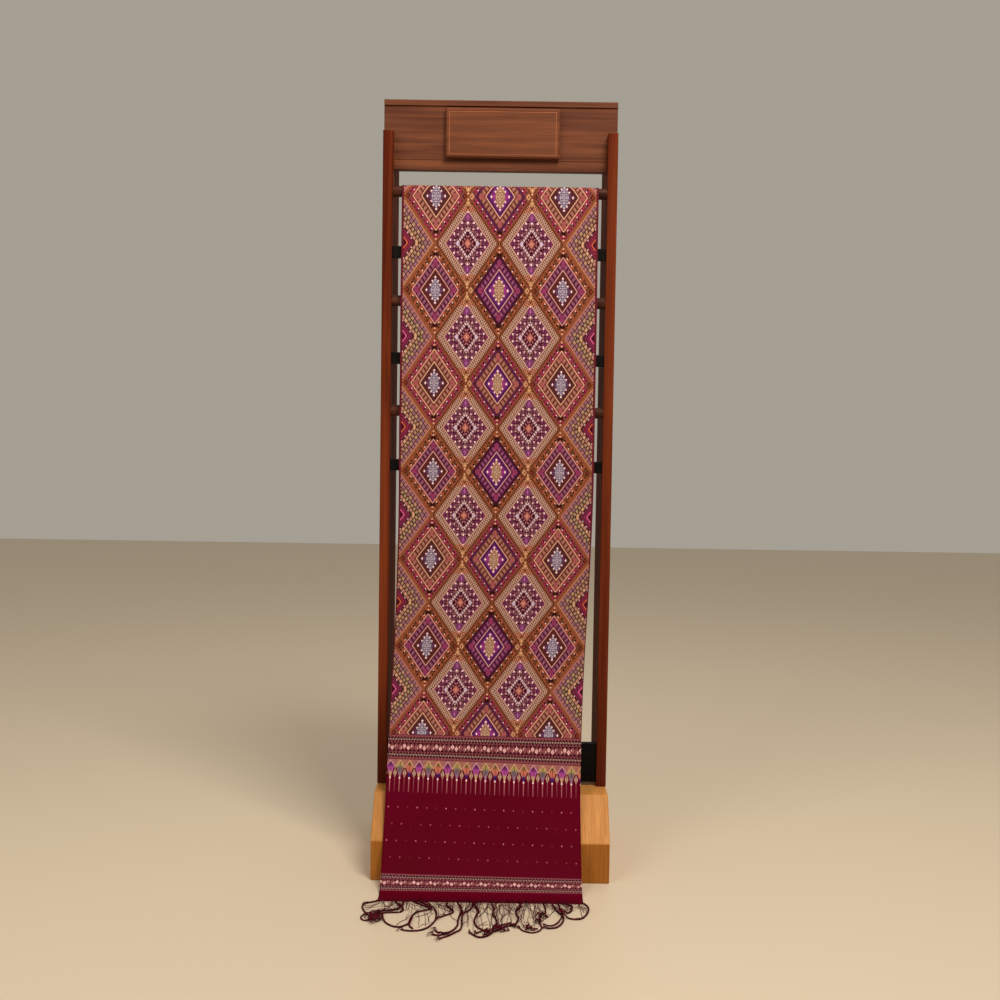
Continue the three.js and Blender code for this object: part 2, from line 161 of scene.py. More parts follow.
def wood(name, pale, dark, flow, figure, roughness, shine):
    """Planed wood under a thin finish. flow tells how quickly its figure changes along X, Y and Z."""
    material = bpy.data.materials.new(name)
    material.use_nodes = True
    tree = material.node_tree
    place = added(tree, "ShaderNodeTexCoord", {}).outputs["Object"]

    def grain(narrowness, scale, distortion):
        """Figure drawn out along the grain, and more so the narrower it is."""
        flow_scale = [value ** narrowness for value in flow]
        drawn_out = added(tree, "ShaderNodeMapping", {"Vector": place, "Scale": flow_scale}).outputs["Vector"]
        settings = {"Vector": drawn_out, "Scale": scale, "Detail": 3.0, "Distortion": distortion}
        return added(tree, "ShaderNodeTexNoise", settings).outputs["Fac"]

    broad = grain(1.0, figure, 0.35)
    pores = grain(1.3, figure * 14, 0.1)
    pore_settings = {"Value": pores, "From Min": 0.3, "From Max": 0.7, "To Min": 0.72, "To Max": 1.1}
    pore_shade = added(tree, "ShaderNodeMapRange", pore_settings).outputs["Result"]
    tone = two_tones(tree, broad, 0.34, dark, 0.68, pale)
    shaded = added(tree, "ShaderNodeVectorMath", {"Vector": tone, "Scale": pore_shade}, operation="SCALE")
    gloss_settings = {"Value": broad, "To Min": roughness + 0.1, "To Max": roughness - 0.06}
    gloss = added(tree, "ShaderNodeMapRange", gloss_settings).outputs["Result"]
    relief = added(tree, "ShaderNodeBump", {"Strength": 0.25, "Distance": 0.0006, "Height": pores})
    feed(tree, tree.nodes["Principled BSDF"], {
        "Base Color": shaded.outputs["Vector"],
        "Roughness": gloss,
        "Specular IOR Level": shine,
        "Normal": relief.outputs["Normal"],
    })
    return material


ALONG_X = (0.035, 1, 1)
ALONG_Y = (1, 0.035, 0.08)
ALONG_Y_UPRIGHT = (1, 0.035, 0.8)
ALONG_Z = (1, 1, 0.035)
LONG_EDGE = 0.045
SHARP_TURN = 0.5


def add_piece(name, mesh, material):
    """A finished mesh becomes a piece of the stand's one body."""
    mesh.materials.append(material)
    piece = placed(name, mesh)
    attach(piece, "root")
    return piece


def eased_board(node, name, material, arris):
    """The piece's own solid with its long edges eased by hand, in place of the sharp one."""
    board = bmesh.new()
    board.from_mesh(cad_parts[node].data)
    bmesh.ops.remove_doubles(board, verts=board.verts, dist=0.00002)
    bmesh.ops.dissolve_limit(board, angle_limit=math.radians(1), verts=board.verts, edges=board.edges)
    corners = [
        edge for edge in board.edges
        if edge.calc_length() > LONG_EDGE and edge.calc_face_angle() > SHARP_TURN
    ]
    bmesh.ops.bevel(board, geom=corners, offset=arris, segments=3, profile=0.5, affect="EDGES")
    mesh = bpy.data.meshes.new(name)
    board.to_mesh(mesh)
    board.free()
    piece = add_piece(name, mesh, material)
    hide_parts(node)
    return piece


# The left foot's tones are set darker than the right foot's as painted shade, standing in for less light
# falling on the left foot
FOOT_BOARDS_LEFT_SHADED = {
    "left": ((194, 133, 66), (184, 121, 56)),
    "right": ((210, 145, 74), (200, 133, 64)),
}
FOOT_ARRIS = 0.003
SQUARE_ON = 0.95
MOSTLY_ASIDE = 0.7
end_wood = wood("end grain", (180, 114, 46), (158, 94, 34), ALONG_Z, 70, 0.6, 0.1)
for side, (pale_wood, dark_wood) in FOOT_BOARDS_LEFT_SHADED.items():
    top_wood = wood(f"oiled orange wood, {side}", pale_wood, dark_wood, ALONG_Y, 60, 0.5, 0.2)
    flank_wood = wood(f"oiled orange wood, {side} flank", pale_wood, dark_wood, ALONG_Y_UPRIGHT, 60, 0.5, 0.2)
    foot = eased_board(f"foot_{side}", f"{side}_foot", top_wood, FOOT_ARRIS)
    foot.data.materials.append(end_wood)
    foot.data.materials.append(flank_wood)
    for face in foot.data.polygons:
        if abs(face.normal.y) > SQUARE_ON:
            face.material_index = 1
        elif abs(face.normal.x) > MOSTLY_ASIDE:
            face.material_index = 2

# Uprights and header: dark reddish boards. The header board sits in slots in the uprights, with a thin cap on
# top, a narrow rail beneath and a bare bevelled plate on its face with one fine line cut round it.
UPRIGHT_ARRIS = 0.0025
HEADER_ARRIS = 0.0015
PLATE_ARRIS = 0.0006
upright_wood = wood("reddish board, upright", (124, 56, 28), (84, 30, 14), ALONG_Z, 34, 0.65, 0.03)
header_wood = wood("reddish board, level", (120, 68, 42), (88, 45, 27), ALONG_X, 70, 0.5, 0.15)
for side in ("left", "right"):
    eased_board(f"post_{side}", f"{side}_upright", upright_wood, UPRIGHT_ARRIS)
for part in ("header_board", "header_cap", "header_rail"):
    eased_board(part, part.replace("header", "top"), header_wood, HEADER_ARRIS)
plate_wood = wood("reddish board, plate", (122, 70, 43), (100, 53, 31), ALONG_X, 60, 0.5, 0.15)
plate_piece = eased_board("plate", "bare_plate", plate_wood, PLATE_ARRIS)

# The floor of the cut line round the plate is coloured paler than the plate
CUT_LINE_DEPTH = 0.0006
CUT_LINE_DEEPEST = 0.003
cut_wood = wood("cut line", (206, 132, 96), (176, 104, 72), ALONG_X, 30, 0.5, 0.1)
plate_piece.data.materials.append(cut_wood)
plate_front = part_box("plate")[0].y
for face in plate_piece.data.polygons:
    set_back = face.center.y - plate_front
    if face.normal.y < -SQUARE_ON and CUT_LINE_DEPTH < set_back < CUT_LINE_DEEPEST:
        face.material_index = 1

# Cross members: brown turned rungs and black painted square bars in turn, and one black board low down. They
# are let into the uprights.
RUNG_SIDES = 40
RUNG_RINGS = 60
TURNING_WOBBLE = 0.00025
BAR_ARRIS = 0.0015
rung_wood = wood("brown rung", (92, 48, 30), (56, 26, 16), ALONG_X, 60, 0.5, 0.12)
black_wood = wood("black painted wood", (16, 12, 11), (8, 6, 6), ALONG_X, 50, 0.5, 0.1)


def turned_rung(node, name):
    """A round rod off the lathe, with the faint unevenness that the tool leaves."""
    low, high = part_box(node)
    radius = (high.z - low.z) / 2
    centre = (low + high) / 2
    rod = bmesh.new()
    rings = []
    for step in range(RUNG_RINGS + 1):
        x = low.x + (high.x - low.x) * step / RUNG_RINGS
        ring_radius = radius - TURNING_WOBBLE * (1 + math.sin(x * 41 + centre.z * 13))
        ring = []
        for side in range(RUNG_SIDES):
            turn_angle = 2 * math.pi * side / RUNG_SIDES
            y = centre.y + ring_radius * math.cos(turn_angle)
            z = centre.z + ring_radius * math.sin(turn_angle)
            ring.append(rod.verts.new((x, y, z)))
        rings.append(ring)
    for ring, next_ring in zip(rings, rings[1:]):
        for side in range(RUNG_SIDES):
            other = (side + 1) % RUNG_SIDES
            face = rod.faces.new((ring[side], ring[other], next_ring[other], next_ring[side]))
            face.smooth = True
    rod.faces.new(list(reversed(rings[0])))
    rod.faces.new(rings[-1])
    bmesh.ops.recalc_face_normals(rod, faces=rod.faces)
    mesh = bpy.data.meshes.new(name)
    rod.to_mesh(mesh)
    rod.free()
    piece = add_piece(name, mesh, rung_wood)
    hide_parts(node)


for number in (1, 2, 3):
    turned_rung(f"rung_{number}", f"turned_rung_{number}")
    eased_board(f"bar_{number}", f"square_bar_{number}", black_wood, BAR_ARRIS)
eased_board("stretcher", "low_board", black_wood, BAR_ARRIS)

# Shawl: one loom length of fine silk, hung over the top rung so that its front end comes down to the floor
# and lies forward on it. It is made as a thin closed sheet along the course that the cloth takes.
SHAWL_WIDTH = 0.508
FRONT_END_WIDTH = 0.500
FULL_WIDTH_ABOVE = 1.150
DRAWN_IN_BELOW = 0.450
SHAWL_LENGTH = 2.400
SHEET_THICKNESS = 0.0009
SHEET_ALLOWANCE = 0.0008
RUNG_GAP = 0.0007
DROP_DEPTH = 0.150
SWEEP_TOP = 0.700
SWEEP_PULL_DOWN = 0.450
FLOOR_TOUCH = -0.104
FLOOR_PULL_BACK = 0.045
HEM_DEPTH = -0.140
BACK_LEAN = 0.007
STRAY_TOP = 0.001
STRAY_FLOOR = -0.021
STRAY_START = 1.000
STRAY_END = 0.150
COLUMNS = 72
ROW_PITCH = 0.0055
CLOSER_ROWS = 0.35
NEAR_RUNG = 0.04

# Soft upright folds: where each stands across the cloth, how wide and proud it is and between what heights
FOLDS = [
    {"across": -0.246, "spread": 0.034, "proud": 0.0050, "low": 0.330, "high": 1.700, "drift": 0.0},
    {"across": -0.128, "spread": 0.052, "proud": 0.0030, "low": 0.420, "high": 1.560, "drift": 0.026},
    {"across": 0.020, "spread": 0.070, "proud": 0.0034, "low": 0.240, "high": 1.180, "drift": -0.034},
    {"across": 0.142, "spread": 0.044, "proud": 0.0044, "low": 0.210, "high": 0.900, "drift": 0.030},
    {"across": 0.247, "spread": 0.030, "proud": 0.0056, "low": 0.260, "high": 1.640, "drift": 0.0},
]
FOLD_FADE = 0.240
COCKLE = 0.00035
EDGE_CURL = 0.0022
EDGE_CURL_WIDTH = 0.018
FLOOR_CALM = (0.012, 0.10)
RUNG_CALM = (1.69, 1.745)

# Slight creases on the cloth's own face: place, slant, length, width and height in metres
CREASES = [
    {"across": -0.16, "along": 0.245, "slant": 8, "length": 0.16, "width": 0.018, "height": 0.0016},
    {"across": 0.15, "along": 0.215, "slant": -14, "length": 0.20, "width": 0.024, "height": 0.0024},
    {"across": 0.06, "along": 0.150, "slant": 10, "length": 0.22, "width": 0.020, "height": -0.0014},
    {"across": -0.07, "along": 0.120, "slant": -6, "length": 0.18, "width": 0.016, "height": 0.0013},
    {"across": 0.20, "along": 0.700, "slant": 64, "length": 0.24, "width": 0.020, "height": 0.0016},
    {"across": -0.19, "along": 0.980, "slant": -70, "length": 0.30, "width": 0.018, "height": 0.0014},
    {"across": 0.02, "along": 1.320, "slant": 78, "length": 0.34, "width": 0.022, "height": -0.0013},
    {"across": 0.17, "along": 1.640, "slant": 84, "length": 0.26, "width": 0.016, "height": 0.0013},
    {"across": -0.10, "along": 1.760, "slant": 88, "length": 0.20, "width": 0.016, "height": 0.0012},
    {"across": 0.05, "along": 2.120, "slant": 82, "length": 0.30, "width": 0.024, "height": 0.0018},
    {"across": -0.14, "along": 2.220, "slant": -80, "length": 0.26, "width": 0.022, "height": 0.0018},
]


def smooth(value, low, high):
    """0 below low and 1 above high, with a soft start and end between them."""
    share = np.clip((value - low) / (high - low), 0, 1)
    return share * share * (3 - 2 * share)


def line(start, end, count):
    """Places along a straight stretch of the course."""
    return np.linspace(start, end, count)


# The course from the front hem up to the rung, over it and down behind: depth from the feet's front, height
rung_low, rung_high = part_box("rung_1")
rung_depth = (rung_low.y + rung_high.y) / 2 - FEET_FRONT
rung_height = (rung_low.z + rung_high.z) / 2
turn_radius = (rung_high.z - rung_low.z) / 2 + RUNG_GAP + SHEET_ALLOWANCE
touch = np.array([FLOOR_TOUCH, SHEET_ALLOWANCE])
sweep_top = np.array([DROP_DEPTH, SWEEP_TOP])
pulls = [touch + [FLOOR_PULL_BACK, 0], sweep_top - [0, SWEEP_PULL_DOWN]]
share = np.linspace(0, 1, 400)[:, None]
sweep = (
    (1 - share) ** 3 * touch
    + 3 * (1 - share) ** 2 * share * pulls[0]
    + 3 * (1 - share) * share ** 2 * pulls[1]
    + share ** 3 * sweep_top
)
angle = np.linspace(math.pi, 0, 160)
over = np.stack([
    rung_depth + turn_radius * np.cos(angle),
    rung_height + turn_radius * np.sin(angle),
], axis=1)
front = np.concatenate([
    line([HEM_DEPTH, SHEET_ALLOWANCE], touch, 20)[:-1],
    sweep[:-1],
    line(sweep_top, over[0], 200)[:-1],
    over,
])
front_length = np.linalg.norm(np.diff(front, axis=0), axis=1).sum()
back_length = SHAWL_LENGTH - front_length
back_end = over[-1] + [BACK_LEAN, -math.sqrt(back_length ** 2 - BACK_LEAN ** 2)]
course = np.concatenate([front, line(over[-1], back_end, 120)[1:]])
course_along = np.concatenate([[0], np.cumsum(np.linalg.norm(np.diff(course, axis=0), axis=1))])
over_start = front_length - math.pi * turn_radius

# Rows are closer together round the rung and where the cloth meets the floor
rows = [0.0]
while rows[-1] < SHAWL_LENGTH - 0.0005:
    near_rung = abs(rows[-1] - over_start - math.pi * turn_radius / 2) < NEAR_RUNG
    step = ROW_PITCH * (CLOSER_ROWS if near_rung else 1)
    rows.append(min(rows[-1] + step, SHAWL_LENGTH))
row_along = np.array(rows)[:, None]
depth = np.interp(row_along, course_along, course[:, 0])
height = np.interp(row_along, course_along, course[:, 1])
on_front = row_along < over_start
drawn_width = FRONT_END_WIDTH + (SHAWL_WIDTH - FRONT_END_WIDTH) * smooth(
    height, DRAWN_IN_BELOW, FULL_WIDTH_ABOVE
)
width = np.where(on_front, drawn_width, SHAWL_WIDTH)
across = width * np.linspace(-0.5, 0.5, COLUMNS + 1)[None, :]
outward = np.where(on_front, -1.0, np.where(row_along > front_length, 1.0, 0.0))
middle = np.where(
    on_front,
    STRAY_TOP + (STRAY_FLOOR - STRAY_TOP) * smooth(STRAY_START - height, 0, STRAY_START - STRAY_END),
    STRAY_TOP,
)
proud = np.zeros((len(rows), COLUMNS + 1))
for fold in FOLDS:
    along_fold = (height - fold["low"]) / (fold["high"] - fold["low"])
    rise = smooth(height, fold["low"], fold["low"] + FOLD_FADE)
    fade = 1 - smooth(height, fold["high"] - FOLD_FADE, fold["high"])
    offset = (across - fold["across"] - fold["drift"] * (0.5 - along_fold)) / fold["spread"]
    proud += fold["proud"] * rise * fade * np.exp(-offset ** 2)
grid = np.stack([
    middle + across + 0 * row_along,
    depth + outward * proud + FEET_FRONT,
    height + 0 * across,
], axis=-1)


def sheet_normals(points):
    """Which way the cloth faces at each place of its grid."""
    normals = np.cross(np.gradient(points, axis=1), np.gradient(points, axis=0))
    return normals / np.linalg.norm(normals, axis=-1, keepdims=True)


# Creases and a faint cockle stand off the smooth sheet, and die out where it lies on the floor or the rung
relief = np.zeros(grid.shape[:2])
for crease in CREASES:
    slant = math.radians(crease["slant"])
    side = across - crease["across"]
    ahead_of = row_along - crease["along"]
    lengthwise = side * math.cos(slant) + ahead_of * math.sin(slant)
    crosswise = ahead_of * math.cos(slant) - side * math.sin(slant)
    relief += crease["height"] * np.exp(
        -(lengthwise / (crease["length"] / 2)) ** 2 - (crosswise / crease["width"]) ** 2
    )
relief += COCKLE * np.sin(across * 61 + 2.1 * np.sin(row_along * 9.0)) * np.sin(row_along * 37 + across * 11)
hanging = smooth(height, *FLOOR_CALM) * (1 - smooth(height, *RUNG_CALM))
curl_waver = 1 + 0.8 * np.sin(row_along * 17 + 3 * across)
edge_curl = EDGE_CURL * smooth(np.abs(across), width / 2 - EDGE_CURL_WIDTH, width / 2) * curl_waver
relief = (relief + edge_curl) * hanging
normals = sheet_normals(grid)
middle_sheet = grid + normals * relief[..., None]
normals = sheet_normals(middle_sheet)
faces_out = middle_sheet + normals * SHEET_THICKNESS / 2
faces_in = middle_sheet - normals * SHEET_THICKNESS / 2
row_count, column_count = grid.shape[:2]
sheet_size = row_count * column_count


def index(side, row, column):
    """The number of a vertex on the face side, 0, or the reverse, 1."""
    return side * sheet_size + row * column_count + column


quads = []
for row in range(row_count - 1):
    for column in range(column_count - 1):
        corners = [(row, column), (row, column + 1), (row + 1, column + 1), (row + 1, column)]
        quads.append([index(0, *corner) for corner in corners])
        quads.append([index(1, *corner) for corner in reversed(corners)])
rim = [(0, column) for column in range(column_count)]
rim += [(row, column_count - 1) for row in range(1, row_count)]
rim += [(row_count - 1, column) for column in range(column_count - 2, -1, -1)]
rim += [(row, 0) for row in range(row_count - 2, 0, -1)]
for start, end in zip(rim, rim[1:] + rim[:1]):
    quads.append([index(0, *end), index(0, *start), index(1, *start), index(1, *end)])
shawl_mesh = bpy.data.meshes.new("shawl_cloth")
sheet_points = np.concatenate([faces_out.reshape(-1, 3), faces_in.reshape(-1, 3)])
shawl_mesh.from_pydata(sheet_points.tolist(), [], quads)
weave_map = shawl_mesh.uv_layers.new(name="weave")

# The weft runs a little askew low down: how far each woven line is lower at the two edges, in metres
SKEW_AT = [0.0, 0.05, 0.099, 0.140, 0.270, 0.377, 0.448, 0.600]
SKEW_LEFT = [0.0, 0.0, -0.0014, -0.0080, -0.0100, -0.0130, -0.0040, 0.0]
SKEW_RIGHT = [0.0, 0.0, 0.0066, 0.0020, 0.0000, 0.0000, -0.0010, 0.0]
edge_share = across / width + 0.5
lower_by = np.interp(row_along, SKEW_AT, SKEW_LEFT) * (1 - edge_share)
lower_by = lower_by + np.interp(row_along, SKEW_AT, SKEW_RIGHT) * edge_share
place_on_cloth = np.stack(np.broadcast_arrays(across, row_along + lower_by), axis=-1).reshape(-1, 2)
corner_vertices = np.empty(len(shawl_mesh.loops), dtype=np.int64)
shawl_mesh.loops.foreach_get("vertex_index", corner_vertices)
weave_map.data.foreach_set("uv", place_on_cloth[corner_vertices % sheet_size].astype(np.float32).ravel())
reverse = shawl_mesh.attributes.new("reverse", "FLOAT", "FACE")
reverse_face = np.zeros(len(quads), dtype=np.float32)
reverse_face[1:2 * (row_count - 1) * (column_count - 1):2] = 1
reverse.data.foreach_set("value", reverse_face)
shawl_mesh.polygons.foreach_set("use_smooth", np.ones(len(quads), dtype=bool))
shawl_mesh.update()

# The brocade: coloured weft is laid in by hand, so every figure is made of small blocks of threads. The chart
# is worked out in counts of these blocks from the middle of each lozenge: ring tells how far out a block lies
# and slip how far along the lozenge's side.
silk = bpy.data.materials.new("brocade silk")
silk.use_nodes = True
weave = silk.node_tree


class Count:
    """A number that changes over the cloth. Sums and comparisons of it become Math nodes."""

    def __init__(self, socket):
        self.socket = socket

    def math(self, operation, *others):
        """One Math node, fed by this count and others or plain numbers."""
        sources = [value.socket if isinstance(value, Count) else value for value in (self, *others)]
        return Count(added(weave, "ShaderNodeMath", dict(enumerate(sources)), operation=operation).outputs[0])

    def __add__(self, other):
        return self.math("ADD", other)

    def __sub__(self, other):
        return self.math("SUBTRACT", other)

    def __mul__(self, other):
        return self.math("MULTIPLY", other)

    def __truediv__(self, other):
        return self.math("DIVIDE", other)

    def __mod__(self, other):
        return self.math("FLOORED_MODULO", other)

    def __lt__(self, other):
        return self.math("LESS_THAN", other)

    def __gt__(self, other):
        return self.math("GREATER_THAN", other)

    def __and__(self, other):
        return self.math("MULTIPLY", other)

    def __or__(self, other):
        return self.math("MAXIMUM", other)

    def __invert__(self):
        return self.math("MULTIPLY_ADD", -1.0, 1.0)

    def __abs__(self):
        return self.math("ABSOLUTE")

    def whole(self):
        """The count rounded down."""
        return self.math("FLOOR")

    def clipped(self):
        """The count held between 0 and 1."""
        return self.math("MAXIMUM", 0.0).math("MINIMUM", 1.0)

    def between(self, low, high):
        """1 where the count is from low to high, both counted in."""
        return (self > low - 0.5) & (self < high + 0.5)

    def near(self, centre, reach):
        """1 where the count is within a reach of the centre."""
        return abs(self - centre) < reach + 0.25

    def every(self, pitch, start=0.0):
        """The distance to the nearest of a row of places, pitch apart."""
        return abs((self - start + pitch / 2) % pitch - pitch / 2)


def mixed(mask, first, second):
    """first where mask is 0, second where it is 1."""
    first, second = (colour(*tone) if isinstance(tone, tuple) else tone for tone in (first, second))
    return added(weave, "ShaderNodeMix", {0: mask.socket, 6: first, 7: second}, data_type="RGBA").outputs[2]


def woven(ground, *figures):
    """Lay figures over a ground in turn, each given as its mask and its colour."""
    for mask, tone in figures:
        ground = mixed(mask, ground, tone)
    return ground


THREADS = {
    "cream": (222, 160, 128),
    "white": (250, 218, 216),
    "rust": (132, 44, 44),
    "dark": (36, 10, 18),
    "maroon": (84, 14, 34),
    "pink": (206, 124, 132),
    "earth": (104, 56, 36),
}
LOZENGE_WIDTH = 0.165
LOZENGE_HEIGHT = 0.2289
LOOSE_HEIGHT = 0.2405
FIRST_ROW = 0.4536
LOOSE_FROM = 1.3692
BLOCKS = 60

weave_uv = added(weave, "ShaderNodeUVMap", {}, uv_map="weave").outputs["UV"]
split = added(weave, "ShaderNodeSeparateXYZ", {"Vector": weave_uv})
cloth_across = Count(split.outputs["X"])
cloth_along = Count(split.outputs["Y"])
end_distance = cloth_along.math("MINIMUM", ~cloth_along + (SHAWL_LENGTH - 1))

# The lozenge count: columns across, rows along, woven a little looser towards the top
columns = cloth_across / LOZENGE_WIDTH
tight_rows = (cloth_along.math("MINIMUM", LOOSE_FROM) - FIRST_ROW) / LOZENGE_HEIGHT
loose_rows = (cloth_along - LOOSE_FROM).math("MAXIMUM", 0.0) / LOOSE_HEIGHT
rows_along = tight_rows + loose_rows
column_number = columns.math("ROUND")
row_number = rows_along.math("ROUND")
from_column = (abs(columns - column_number) * (2 * BLOCKS)).whole()
from_row = (abs(rows_along - row_number) * (2 * BLOCKS)).whole()
in_pale = (from_column + from_row) > BLOCKS - 1.5
in_deep = ~in_pale
over_count = from_column + in_pale * (from_column * -2 + (BLOCKS - 1))
up_count = from_row + in_pale * (from_row * -2 + (BLOCKS - 1))
ring = over_count + up_count
slip = over_count - up_count
side_half = in_pale & (abs(columns) > 1)
pale = in_pale & (abs(columns) < 1)
centre_column = in_deep & (abs(columns) < 0.5)
red_row = (row_number % 2) < 0.5
odd_pale_row = (rows_along.whole() % 2) < 0.5


def knot(over_at, up_at, reach=1.0):
    """A small knot of thread, at counts over and up from the lozenge's middle."""
    return (abs(over_count - over_at) + abs(up_count - up_at)) < reach + 0.9


def knots(*places):
    """Several knots at once."""
    found = knot(*places[0])
    for place in places[1:]:
        found = found | knot(*place)
    return found


# Deep lozenges: outside the outer fine line lie patches of colour, with white knots and dark teeth on their
# edge. Red and orange rows take turns, and the middle column is purple.
patch_turn = ((slip + 2) % 17) < 8.5
band_red = mixed(patch_turn, (124, 64, 64), (148, 42, 74))
band_orange = mixed(patch_turn, (108, 62, 40), (158, 82, 56))
field = mixed(red_row, band_orange, band_red)
edge_dark = mixed(red_row, (64, 22, 44), (80, 32, 68))
tooth = ((slip.every(17) + abs(ring - 50.5) * 0.6) < 3.0) & ring.between(48, 55)
apex = (over_count * 0.8 + abs(up_count - 45)) < 4.5
field = woven(
    field,
    (ring.between(42, 46) & centre_column, edge_dark),
    (tooth, (46, 14, 14)),
    ((slip.every(17, 8.5) < 1.6) & ring.between(52, 54), (70, 26, 18)),
    ((slip.every(17, 8.5) < 1.2) & ring.between(44, 46), THREADS["maroon"]),
    (ring.between(48, 49) & (slip.every(17) < 1.6), THREADS["white"]),
    (apex & (ring > 43.5), (52, 18, 16)),
)

# Between the lines is a band of small squares, each with a paler heart and dark gaps
block_ground = mixed(red_row, (56, 16, 36), (84, 30, 28))
blocks = (slip.every(10, 5) < 3.7) & ring.between(30, 40)
block_colour = mixed(red_row, (124, 66, 92), (144, 92, 80))
block_colour = mixed(centre_column & ~red_row, block_colour, (120, 54, 98))
heart_colour = mixed(red_row, (152, 90, 112), (176, 122, 104))
corner_block = (ring > 30.5) & (ring < 39.5) & ((over_count < 3.4) | (up_count < 3.4))
fine_line = mixed(red_row, (216, 150, 148), (226, 168, 138))
field = woven(
    field,
    (ring.between(0, 43) & (~centre_column | ring.between(0, 41)), block_ground),
    (blocks, block_colour),
    ((slip.every(10, 5) < 1.9) & ring.between(33, 37), heart_colour),
    (corner_block, mixed(red_row, (138, 54, 92), (158, 84, 84))),
    (ring.between(42, 43) & ~centre_column, fine_line),
    (ring.between(0, 27), fine_line),
)

# Inside them is a dark frame round a medallion of petals
frame_colour = mixed(red_row, (92, 44, 36), (84, 46, 44))
frame_colour = mixed(centre_column, frame_colour, (86, 34, 94))
inner_ground = mixed(centre_column, (86, 32, 48), (120, 42, 108))
flank = (over_count + up_count * 1.3) < 15
medallion = ((over_count * 1.3 + up_count) < 16) & (over_count < 9)
net = (over_count % 3 < 1.5) & (up_count % 3 < 1.5)
net_colour = mixed(centre_column, (110, 98, 124), (156, 108, 78))
white_knots = knots((16, 0, 0.6), (0, 16, 0.6), (5, 11, 0.35), (9, 6, 0.35))
side_mark = abs(over_count - 53) + up_count
field = woven(
    field,
    (ring.between(0, 25), frame_colour),
    (ring.between(22, 22), (48, 14, 26)),
    (ring.between(0, 19), inner_ground),
    (flank, mixed(centre_column, (92, 58, 88), (146, 52, 124))),
    (medallion, net_colour),
    (medallion & net, mixed(centre_column, (186, 172, 184), (198, 164, 130))),
    (medallion & ((over_count + up_count) % 5 < 0.5), (92, 48, 92)),
    (white_knots, THREADS["white"]),
    (knots((0, 54, 0.8), (0, 49, 0.5)), THREADS["cream"]),
    (side_mark < 4.5, mixed(centre_column, (70, 30, 20), (206, 150, 112))),
    (side_mark < 2.0, mixed(centre_column, (148, 56, 42), (120, 60, 40))),
)

# Pale lozenges: a speckled ground with rings of white knots, and a dashed white ring round a star
side_sector = over_count > up_count * 0.8 + 4
speckled = mixed(side_sector, (122, 78, 88), (114, 44, 80))
SPECKLES = [
    {"ring": 31.5, "pitch": 7.2, "start": 2.4, "colour": (132, 70, 92)},
    {"ring": 27.3, "pitch": 14.4, "start": 6.2, "colour": (218, 158, 170)},
    {"ring": 36.4, "pitch": 14.4, "start": -1, "colour": (236, 192, 198)},
    {"ring": 23.0, "pitch": 9.6, "start": 4.8, "colour": (150, 96, 96)},
]
for speckle in SPECKLES:
    off = abs(ring - speckle["ring"]) * 0.85 + slip.every(speckle["pitch"], speckle["start"]) * 0.95
    speckled = woven(speckled, (off < 4.9, (64, 20, 44)), (off < 2.8, speckle["colour"]))
little = over_count + abs(up_count - 33) * 0.8
speckled = woven(
    speckled,
    (little < 6.5, (136, 62, 112)),
    (little < 5.0, (92, 40, 88)),
    ((little < 3.2) & (over_count % 2 < 0.5), (176, 96, 150)),
    (knots((0, 26, 0.8), (0, 40, 0.5)), THREADS["white"]),
    (ring.between(0, 21), (70, 24, 44)),
    (ring.between(16, 20) & (slip % 6 > 1.4), (228, 192, 200)),
    (ring.between(18, 18) & (slip % 6 > 3.2), (150, 90, 120)),
    (knots((19, 0, 2.0)), (196, 176, 208)),
    (ring.between(0, 15), (74, 22, 38)),
    ((slip.every(7, 0) < 1.2) & ring.between(8, 12), (166, 98, 112)),
    ((slip.every(7, 3.5) < 1.2) & ring.between(9, 15), (40, 10, 20)),
    (ring.between(0, 5), (180, 106, 92)),
    (ring.between(0, 1), (206, 140, 134)),
)

# Their border is a fine line and two staggered rows of ticks, warmer at the tips, where a gold figure stands
near_tip = up_count > 39
from_tip = over_count + abs(up_count - 51) * 0.8
tip = from_tip < 7
speckled = woven(
    speckled,
    (ring.between(41, 59), mixed(near_tip, (188, 146, 130), (192, 122, 98))),
    (ring.between(41, 42), mixed(near_tip, (206, 160, 140), (206, 140, 112))),
    (ring.between(43, 43), (110, 66, 56)),
    (ring.between(44, 48) & (slip % 5 < 1.6), (62, 30, 30)),
    (ring.between(50, 54) & ((slip + 2) % 5 < 1.6), (62, 30, 26)),
    (ring.between(55, 56), mixed(slip % 4 < 1.5, (178, 112, 78), (90, 44, 30))),
    (ring.between(57, 58), (74, 34, 22)),
    (tip, (104, 54, 34)),
    (from_tip < 4, (176, 128, 86)),
    (knots((4, 48, 0.4), (0, 56, 0.5), (0, 51, 0.3)), THREADS["cream"]),
)
field = mixed(pale, field, speckled)

